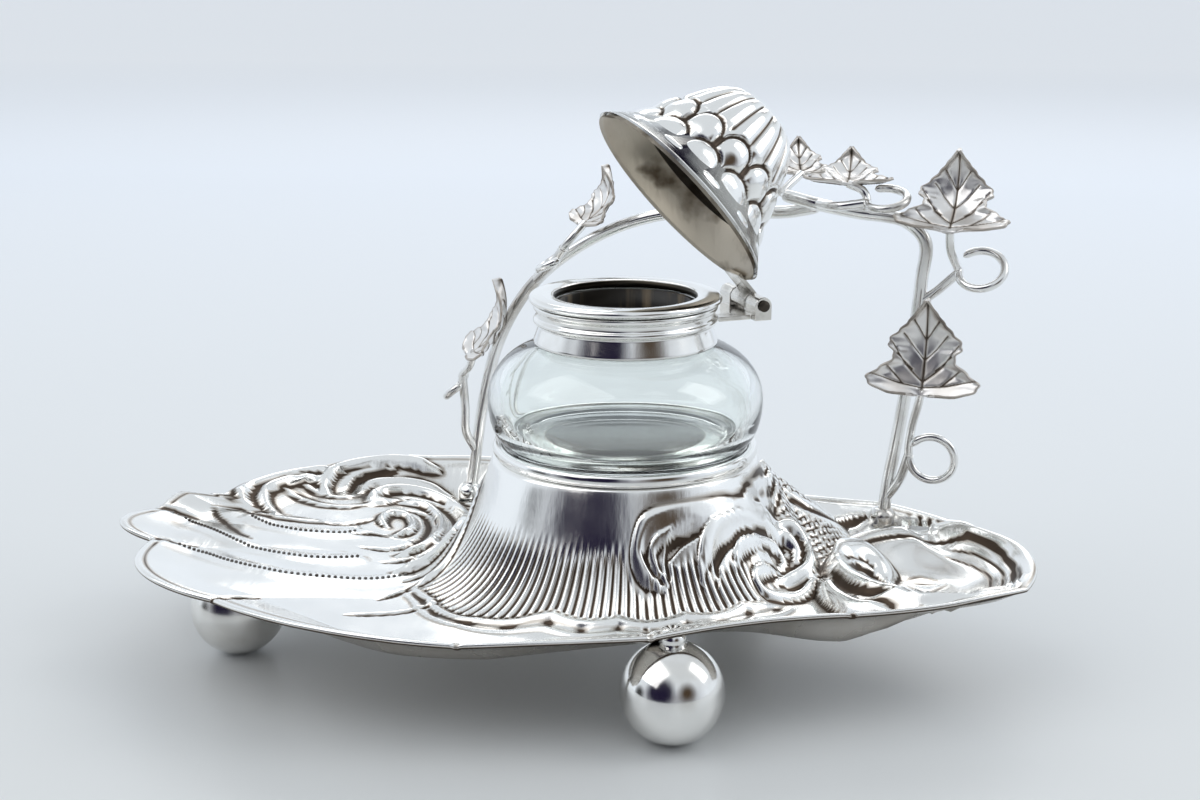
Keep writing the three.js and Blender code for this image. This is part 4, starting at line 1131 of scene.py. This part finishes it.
def petalRow(angle, rise, petal):  # rounded arches that fade out below, and the ditch round them
    form = bellRelief
    sideways = ((angle * form["panels"] / tau + petal["beside"]) % 1 - 0.5) / petal["wide"]
    away = np.hypot(sideways, np.maximum(rise - petal["centre"], 0) / petal["tall"])
    fade = smoothstep((rise - petal["foot"]) / (petal["centre"] - petal["foot"]))
    dome = np.sqrt(np.clip(1 - away**2, 0, 1)) * fade
    return dome, ridge(away - form["ditchAt"], form["ditchWidth"]) * fade


def bellHeight(angle, rise):  # how far the lid's wall is pushed out, in millimetres
    form = bellRelief
    crowned = smoothstep((rise - form["fluteStart"]) / form["fade"])
    crowned = crowned * smoothstep((form["fluteEnd"] - rise) / form["fade"])
    wave = np.abs(np.sin(angle * form["panels"] * form["flutesPerPanel"])) ** form["fluteRound"]
    height = form["fluteHeight"] * (wave - form["fluteSink"]) * crowned
    rows = {name: petalRow(angle, rise, petal) for name, petal in bellPetals.items()}
    upper, upperDitch = rows["upper"]
    ditch = np.maximum(rows["lower"][1], form["smallDitch"] * rows["small"][1])
    ditch = np.maximum(ditch, upperDitch * (1 - rows["lower"][0]))
    height += np.maximum.reduce([bellPetals[name]["height"] * dome for name, (dome, _) in rows.items()])
    height -= form["ditchDepth"] * ditch * (1 - 0.8 * upper)
    for tall, place, width in form["lines"]:
        height += tall * ridge(rise - place, width)
    return height


def lidFrame():
    reach = bellForm["reach"] * mm
    hinge = Matrix.Rotation(math.radians(bellForm["turn"]), 4, "Z")
    pinLow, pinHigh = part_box("hinge_pin")
    pin = Matrix.Translation((reach, 0, (pinLow[2] + pinHigh[2]) / 2))
    swing = Matrix.Rotation(math.radians(bellForm["opening"]), 4, "Y")
    axis = Matrix.Translation((-reach, 0, bellForm["mouth"] * mm))
    return Matrix.Translation(atWell(0, 0, 0)) @ hinge @ pin @ swing @ axis


def bellRows(count):  # the outer profile in equal steps from the lip to the crown, as radius and height
    radii, rises = np.array(bellProfile).T
    lengths = np.concatenate(([0], np.cumsum(np.hypot(np.diff(radii), np.diff(rises)))))
    reach = np.linspace(0, lengths[-1], bellForm["fineRows"])
    rows = np.column_stack((np.interp(reach, lengths, radii), np.interp(reach, lengths, rises)))
    for _ in range(bellForm["smoothing"]):
        rows[1:-1] = (rows[:-2] + 2 * rows[1:-1] + rows[2:]) / 4
    picked = rows[np.linspace(0, bellForm["fineRows"] - 1, count).astype(int)]
    return picked * (bellForm["lip"], bellForm["height"])


def bellSheet(rows, columns, facing):
    sheet = turned([tuple(row) for row in rows], columns)
    top = max(sheet.faces, key=lambda face: face.calc_center_median().z)
    if top.normal.z * facing < 0:
        bmesh.ops.reverse_faces(sheet, faces=sheet.faces[:])
    sheet.normal_update()
    return sheet


def liningRows():  # the outer profile, moved in by the thickness of the wall
    rows = bellRows(bellForm["liningRows"])
    slope = np.gradient(rows, axis=0)
    slope /= np.hypot(*slope.T)[:, None]
    rows = rows + np.column_stack((-slope[:, 1], slope[:, 0])) * bellForm["wall"]
    rows[:, 0] = np.clip(rows[:, 0], 0, None)
    rows[-1, 0] = 0
    return rows


def makeBell():
    form = bellForm
    bell = bellSheet(bellRows(form["rows"]), form["columns"], 1)
    lining = bellSheet(liningRows(), form["liningColumns"], -1)
    places = np.array([v.co[:] for v in bell.verts])
    angle, out = np.arctan2(places[:, 1], places[:, 0]), np.hypot(places[:, 0], places[:, 1])
    rise = places[:, 2] / form["height"]
    height = bellHeight(angle, rise)
    for vert, amount in zip(bell.verts, height * smoothstep(out / 5)):
        vert.co += vert.normal * float(amount)
    beside, above = form["beside"], form["above"]
    steps = ((beside, 0), (-beside, 0), (0, above), (0, -above))
    around = sum(bellHeight(angle + turn, rise + up) for turn, up in steps) / 4
    for sheet in (bell, lining):
        bmesh.ops.scale(sheet, vec=(mm, mm, mm), verts=sheet.verts[:])
        bmesh.ops.transform(sheet, matrix=lidFrame(), verts=sheet.verts[:])
    mesh = meshFrom("bellLid", bell)
    addAttribute(mesh, "patinaAndShade", np.clip((around - height) / form["hollow"], 0, 1))
    addPiece("bellLid", mesh, embossedSilver, "lid", ["lid_bell"])
    mesh = meshFrom("bellLining", lining)
    addPiece("bellLining", mesh, liningSilver, "lid", ["lid_bell"])


makeBell()
say("bell lid")


# ivy: the two stems, the branches, their curled tendrils and the leaves
vineForm = {
    "left": (-0.297, 0.877),
    "right": (0.6932, 0.4383),
    "rise": 75,
    "foot": 26,
    "off": 10,
    "cutBelow": 18,
    "twig": 20,
    "stemWire": 1.5,
    "branchWire": 1.1,
    "tendrilWire": 0.95,
    "curlGap": 0.5,
    "steps": 14,
    "curlSteps": 48,
    "bendSteps": 12,
    "fineSteps": 200,
}
vineFoot = np.append(trayPlace(*vineForm["left"]), vineForm["foot"])
vineRun = np.append(trayPlace(*vineForm["right"]), vineForm["foot"]) - vineFoot
vineSpan = np.linalg.norm(vineRun)
alongVine = vineRun / vineSpan
offVine = np.array((-alongVine[1], alongVine[0], 0))
upward = np.array((0, 0, 1.0))
stemRoutes = {  # shares of the arch's span, thickness and height
    "stem_left": [
        (-0.008, 0, -0.12), (0.014, 0, 0.065), (0.038, 0, 0.265), (0.083, 0, 0.487), (0.168, 0, 0.681),
        (0.31, 0, 0.84), (0.465, 0.05, 0.93), (0.64, 0.1, 0.955), (0.76, 0.19, 0.962), (0.835, 0.19, 0.985),
    ],
    "stem_right": [
        (0.998, 0, -0.08), (1.007, 0, 0.106), (1.027, 0, 0.305), (1.046, 0, 0.531), (1.06, 0, 0.781),
        (1.063, 0, 0.9), (1.019, 0, 0.957), (0.92, -0.08, 0.977), (0.835, -0.17, 0.998),
        (0.755, -0.17, 1.023),
    ],
}
twigs = {  # where each branch leaves its stem, its curl, and the stalk that carries its leaf
    "left_low": {
        "stem": "stem_left", "leaves": 0.12, "branch": [(-0.064, -0.16, 0.297), (-0.048, -0.2, 0.635)],
        "middle": (-0.204, -0.2, 0.935), "radius": 0.18, "turn": 90, "tilt": -45, "start": -230, "end": 90,
        "stalk": [(0.076, -0.31, 1.197), (0.211, -0.45, 1.43)],
        "leafTurn": 30, "lean": (35, 105), "scale": 1.05,
    },
    "left_high": {
        "stem": "stem_left", "leaves": 0.45, "branch": [(0.346, -0.25, 0.281)],
        "middle": (0.373, -0.38, 0.401), "radius": 0.2, "turn": 90, "tilt": -58, "start": -230, "end": 90,
        "stalk": [(0.66, -0.375, 0.65), (0.77, -0.24, 0.81)],
        "leafTurn": 42, "lean": (30, 105), "scale": 0.8,
    },
    "top": {
        "stem": "stem_right", "leaves": 0.895, "branch": [(0.294, -0.164, 0.003)],
        "middle": (0.85, -0.114, 0.052), "radius": 0.22, "turn": 0, "tilt": 74, "start": 500, "end": 180,
        "stalk": [(0.569, -0.064, 0.17), (0.391, -0.114, 0.26)],
        "leafTurn": 100, "lean": (0, 45), "scale": 0.78,
    },
    "right_high": {
        "stem": "stem_right", "leaves": 0.41, "branch": [(0.19, -0.015, 0.151)],
        "middle": (0.692, -0.05, 0.398), "radius": 0.25, "turn": 0, "tilt": 50, "start": 510, "end": 180,
        "stalk": [(0.352, -0.14, 0.638), (0.336, -0.2, 0.904)],
        "leafTurn": 90, "lean": (28, 100), "scale": 1,
    },
    "right_low": {
        "stem": "stem_right", "leaves": 0.095, "branch": [(0.166, -0.07, 0.267)],
        "middle": (0.544, -0.15, 0.608), "radius": 0.265, "turn": 0, "tilt": 0, "start": 510, "end": 180,
        "stalk": [(0.307, -0.225, 0.942), (0.393, -0.35, 1.28), (0.436, -0.425, 1.482)],
        "leafTurn": 90, "lean": (68, 98), "scale": 1,
    },
}
crown = {"stalk": [(0.05, 0.12, 0.08), (0.14, 0.36, 0.2)], "leafTurn": 110, "lean": (15, 55), "scale": 0.62}


def camel(words):
    first, *rest = words.split("_")
    return first + "".join(word.title() for word in rest)


def turnedBy(vector, axis, angle):
    return np.array(Matrix.Rotation(math.radians(angle), 3, Vector(axis)) @ Vector(vector))


def vinePlace(share):
    span, off, rise = share
    place = vineFoot + alongVine * span * vineSpan
    return place + offVine * off * vineForm["off"] + upward * rise * vineForm["rise"]


def twigPlace(start, share):  # a place by a twig's foot
    return start + (alongVine * share[0] + offVine * share[1] + upward * share[2]) * vineForm["twig"]


def curlPoints(twig, foot):
    across = turnedBy(alongVine, upward, twig["turn"])
    up = turnedBy(upward, across, -twig["tilt"])
    axis = np.cross(across, up)
    middle = twigPlace(foot, twig["middle"])
    drift = (2 * vineForm["tendrilWire"] + vineForm["curlGap"]) * abs(twig["end"] - twig["start"]) / 360
    points = []
    for step in range(vineForm["curlSteps"] + 1):
        share = step / vineForm["curlSteps"]
        angle = math.radians(twig["start"] + (twig["end"] - twig["start"]) * share)
        ringPoint = across * math.cos(angle) + up * math.sin(angle)
        points.append(middle + twig["radius"] * vineForm["twig"] * ringPoint + axis * drift * (1 - share))
    return points


wireForm = {"facets": 5, "taper": 3, "tip": 0.02}


def makeWire(points, radius, node, startTaper=False, endTaper=False):  # a taper rounds the wire's end off
    name = camel(node)
    curve = bpy.data.curves.new(name, "CURVE")
    curve.dimensions = "3D"
    curve.bevel_depth = radius * mm
    curve.bevel_resolution = wireForm["facets"]
    curve.use_fill_caps = True
    spline = curve.splines.new("POLY")
    last = len(points) - 1
    spline.points.add(last)
    for i, (point, place) in enumerate(zip(spline.points, points)):
        point.co = (*atWell(*place), 1)
        fromTip = min(i if startTaper else last, last - i if endTaper else last) / wireForm["taper"]
        point.radius = math.sqrt(max(wireForm["tip"], 1 - (1 - min(fromTip, 1)) ** 2))
    spline.use_smooth = True
    addPiece(name, curve, wireSilver, "base", [node])


def curveAt(points, share):  # the point that a share of the curve's spans reaches
    steps = vineForm["fineSteps"]
    fine = throughPoints(points, steps)
    return fine[min(int(round(share * (len(points) - 1) * steps)), len(fine) - 1)]


leafForm = {
    "length": 20.5,
    "width": 26,
    "thickness": 0.6,
    "fold": 1.6,
    "sweep": 0.05,
    "vein": 0.3,
    "midrib": 0.34,
    "sideVein": 0.24,
    "ripple": 0.3,
    "wave": 0.035,
    "waves": 60,
    "rows": 84,
    "columns": 80,
    "darkVein": 0.95,
    "darkEdge": 0.35,
    "patches": 0.22,
}
leafOutline = [  # place along the leaf and half its width there, in leaf lengths and widths
    (-0.09, 0.1),
    (-0.05, 0.27),
    (0.0, 0.39),
    (0.05, 0.475),
    (0.09, 0.505),
    (0.14, 0.47),
    (0.2, 0.4),
    (0.27, 0.3),
    (0.33, 0.255),
    (0.38, 0.27),
    (0.43, 0.305),
    (0.49, 0.325),
    (0.54, 0.305),
    (0.6, 0.255),
    (0.67, 0.2),
    (0.75, 0.145),
    (0.83, 0.1),
    (0.91, 0.055),
    (1.0, 0.004),
]
leafVeins = [  # the midrib first; each vein is there on both sides
    [(0, -0.02), (0, 0.97)],
    [(0, 0.0), (0.2, 0.03), (0.46, 0.12)],
    [(0, 0.06), (0.16, 0.24), (0.29, 0.5)],
    [(0, 0.3), (0.1, 0.44), (0.19, 0.6)],
    [(0, 0.52), (0.11, 0.76)],
    [(0.16, 0.02), (0.32, 0.22)],
    [(0.1, 0.2), (0.24, 0.36)],
]


def leafHalf(along):  # half the leaf's width, with a finely waved edge
    stations, halves = np.array(leafOutline).T
    half = np.interp(along, stations, halves)
    beside = np.interp(along - 0.02, stations, halves), np.interp(along + 0.02, stations, halves)
    for _ in range(2):
        half = (beside[0] + 2 * half + beside[1]) / 4
    wave = leafForm["wave"] * np.sin(along * leafForm["waves"])
    return half * (1 + wave * smoothstep((along + 0.05) / 0.1))


def veining(sideways, swept, width):
    veins = np.zeros(len(swept))
    for row in leafVeins:
        away = toPath(np.abs(sideways), swept, [np.array(place) for place in row])[0] * width
        veins = np.maximum(veins, ridge(away, leafForm["midrib" if row is leafVeins[0] else "sideVein"]))
    return veins


def makeLeaf(node, base, turn, lean, scale):
    form = leafForm
    name = camel(node)
    length, width = form["length"] * scale, form["width"] * scale
    bm = bmesh.new()
    bmesh.ops.create_grid(bm, x_segments=form["columns"], y_segments=form["rows"], size=1)
    flat = np.array([v.co[:] for v in bm.verts])
    first = leafOutline[0][0]
    across = flat[:, 0]
    along = first + (flat[:, 1] + 1) / 2 * (1 - first)
    sideways = across * leafHalf(along)
    swept = along - form["sweep"] * across**2 * smoothstep((0.4 - along) / 0.3)
    veins = veining(sideways, swept, width)
    ripple = form["ripple"] * np.sin(np.abs(across) * 5 + along * 9) * np.abs(across)
    lifted = form["fold"] * scale * across**2 - form["vein"] * veins + ripple * scale

    def leanAt(place):
        return np.radians(lean[0] + (lean[1] - lean[0]) * smoothstep(place))

    fine = np.linspace(first, 1, 400)
    step = (fine[1] - fine[0]) * length
    backRun = np.cumsum(np.cos(leanAt(fine))) * step + first * length * math.cos(math.radians(lean[0]))
    upRun = np.cumsum(np.sin(leanAt(fine))) * step + first * length * math.sin(math.radians(lean[0]))
    back = turnedBy(alongVine, upward, turn)
    side = np.array((-back[1], back[0], 0))
    onward = np.interp(swept, fine, backRun) - lifted * np.sin(leanAt(swept))
    height = np.interp(swept, fine, upRun) + lifted * np.cos(leanAt(swept))
    points = base + np.outer(sideways * width, side) + np.outer(onward, back) + np.outer(height, upward)
    for vert, point in zip(bm.verts, points):
        vert.co = atWell(*point)
    mesh = meshFrom(name, bm)
    edge = smoothstep((np.abs(across) - 0.9) / 0.1) * form["darkEdge"]
    patches = form["patches"] * smoothstep(np.sin(along * 7 + np.abs(across) * 3))
    addAttribute(mesh, "patinaAndShade", np.clip(np.maximum(veins * form["darkVein"], edge) + patches, 0, 1))
    leaf = addPiece(name, mesh, leafSilver, "base", [node])
    thick = leaf.modifiers.new("thickness", "SOLIDIFY")
    thick.thickness = form["thickness"] * mm
    thick.offset = 0


def makeStems():
    places = {node: [vinePlace(share) for share in route] for node, route in stemRoutes.items()}
    for node, route in places.items():
        above = [p for p in throughPoints(route, vineForm["steps"]) if p[2] > vineForm["cutBelow"]]
        makeWire(above, vineForm["stemWire"], node, endTaper=True)
    return places


def makeTwig(name, twig, foot):
    curl = curlPoints(twig, foot)
    branch = [foot] + [twigPlace(foot, share) for share in twig["branch"]] + [curl[-1]]
    makeWire(throughPoints(branch, vineForm["steps"]), vineForm["branchWire"], "branch_" + name)
    stalk = [twigPlace(foot, share) for share in twig["stalk"]]
    steps = vineForm["bendSteps"]
    bends = throughPoints([curl[-8], curl[-1]] + stalk, steps)[steps:]
    makeWire(curl[:-1] + bends, vineForm["tendrilWire"], "tendril_" + name, startTaper=True)
    makeLeaf("leaf_" + name, stalk[-1], twig["leafTurn"], twig["lean"], twig["scale"])


def makeCrown(foot):
    stalk = [foot] + [twigPlace(foot, share) for share in crown["stalk"]]
    makeWire(throughPoints(stalk, vineForm["steps"]), vineForm["tendrilWire"], "stalk_crown")
    makeLeaf("leaf_crown", stalk[-1], crown["leafTurn"], crown["lean"], crown["scale"])


stemPlaces = makeStems()
for name, twig in twigs.items():
    makeTwig(name, twig, curveAt(stemPlaces[twig["stem"]], twig["leaves"]))
makeCrown(stemPlaces["stem_right"][-1])


# sockets that hold the stems' feet
socketForm = {"foot": 3.1, "shoulder": 2.4, "mouth": 1.7, "round": 0.5, "steps": 48}


def makeSocket(node):
    form = socketForm
    low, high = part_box(node)
    x, y = (low[0] + high[0]) / 2 / mm - wellX, (low[1] + high[1]) / 2 / mm - wellY
    bottom, top = heights((low, high))
    rows = [(0, bottom), (form["foot"], bottom), (form["foot"], top - 1.4), (form["shoulder"], top - 0.4)]
    rows += [(form["mouth"], top + 0.1), (0, top + 0.1)]
    bm = turned(softened(rows, form["round"]), form["steps"])
    toFrame(bm, x, y)
    addPiece(camel(node), meshFrom(camel(node), bm), wireSilver, "base", [node])


makeSocket("socket_left")
makeSocket("socket_right")
say("ivy")


# floor, light and world
# painted light: the floor's colour grows lighter towards the back, making up for the lamps' light that falls
# off with distance
floorForm = {
    "size": 12,
    "near": (0.7, 0.71, 0.7),
    "far": (0.8, 0.84, 0.9),
    "beyond": (0.99, 0.99, 1.0),
}


def floorFinish():
    material, paint = newPaint("paleFloor")
    place = paint.node("ShaderNodeSeparateXYZ", {}, {"Vector": paint.coordinates()}, 1)
    # painted light, lighter towards the back
    colour = paint.mix(paint.band(place, -0.15, 0.9), floorForm["near"], floorForm["far"])
    colour = paint.mix(paint.band(place, 0.8, 2.5), colour, floorForm["beyond"])
    paint.surface({"Base Color": colour, "Roughness": 0.35, "Specular IOR Level": 0.35})
    return material


def makeFloor():
    bm = bmesh.new()
    bmesh.ops.create_grid(bm, x_segments=4, y_segments=4, size=floorForm["size"])
    floor = bpy.data.objects.new("paleFloor", meshFrom("paleFloor", bm))
    floor.data.materials.append(floorFinish())
    scene.collection.objects.link(floor)


makeFloor()

lamps = {
    "key": {"place": (-0.9, -0.5, 1.25), "size": (1.7, 1.3), "power": 7},
    "fill": {"place": (1.1, 0.1, 0.9), "size": (0.5, 0.9), "power": 2.5},
    "back": {"place": (0.1, 1.2, 1.1), "size": (1.4, 0.5), "power": 4},
}
lampAim = Vector((0, 0, 0.05))
for name, lamp in lamps.items():
    data = bpy.data.lights.new(name + "Lamp", "AREA")
    data.shape = "RECTANGLE"
    data.size, data.size_y = lamp["size"]
    data.energy = lamp["power"]
    holder = bpy.data.objects.new(name + "Lamp", data)
    holder.location = lamp["place"]
    holder.rotation_euler = (lampAim - Vector(lamp["place"])).to_track_quat("-Z", "Y").to_euler()
    scene.collection.objects.link(holder)

# the room that the silver mirrors: pale, with dark things in front of the tray, beside it and above
studio = {"pale": (0.8, 0.86, 0.93), "top": (0.66, 0.7, 0.74), "room": (0.34, 0.35, 0.38), "strength": 1.1}
darkThings = {
    "front": {"turn": -112, "height": 20, "inner": 20, "outer": 36, "colour": (0.012, 0.009, 0.028)},
    "right": {"turn": -50, "height": 18, "inner": 6, "outer": 24, "colour": (0.06, 0.04, 0.024)},
    "left": {"turn": -160, "height": 4, "inner": 4, "outer": 14, "colour": (0.04, 0.04, 0.04)},
    "above": {"turn": 60, "height": 42, "inner": 4, "outer": 13, "colour": (0.1, 0.1, 0.1)},
}


def studioWorld():
    world = bpy.data.worlds.new("studio")
    scene.world = world
    paint = Paint(world)
    ray = paint.node("ShaderNodeTexCoord", {}, {}, 0)
    away = paint.node("ShaderNodeSeparateXYZ", {}, {"Vector": ray}, 1)
    height = paint.node("ShaderNodeSeparateXYZ", {}, {"Vector": ray}, 2)
    colour = paint.mix(paint.band(height, 0.2, 0.7), studio["pale"], studio["top"])
    colour = paint.mix(paint.band(away, -0.1, -0.7) * paint.band(height, 0.55, 0.2), colour, studio["room"])
    for thing in darkThings.values():
        turn, rise, inner, outer = (math.radians(thing[key]) for key in ("turn", "height", "inner", "outer"))
        ahead = (math.cos(turn) * math.cos(rise), math.sin(turn) * math.cos(rise), math.sin(rise))
        facing = paint.node("ShaderNodeVectorMath", {"operation": "DOT_PRODUCT"}, {0: ray, 1: ahead}, 1)
        colour = paint.mix(paint.band(facing, math.cos(outer), math.cos(inner)), colour, thing["colour"])
    shader = paint.node("ShaderNodeBackground", {}, {"Color": colour, "Strength": studio["strength"]})
    paint.node("ShaderNodeOutputWorld", {}, {"Surface": shader})


studioWorld()
scene.view_settings.view_transform = "Standard"
say("stage")
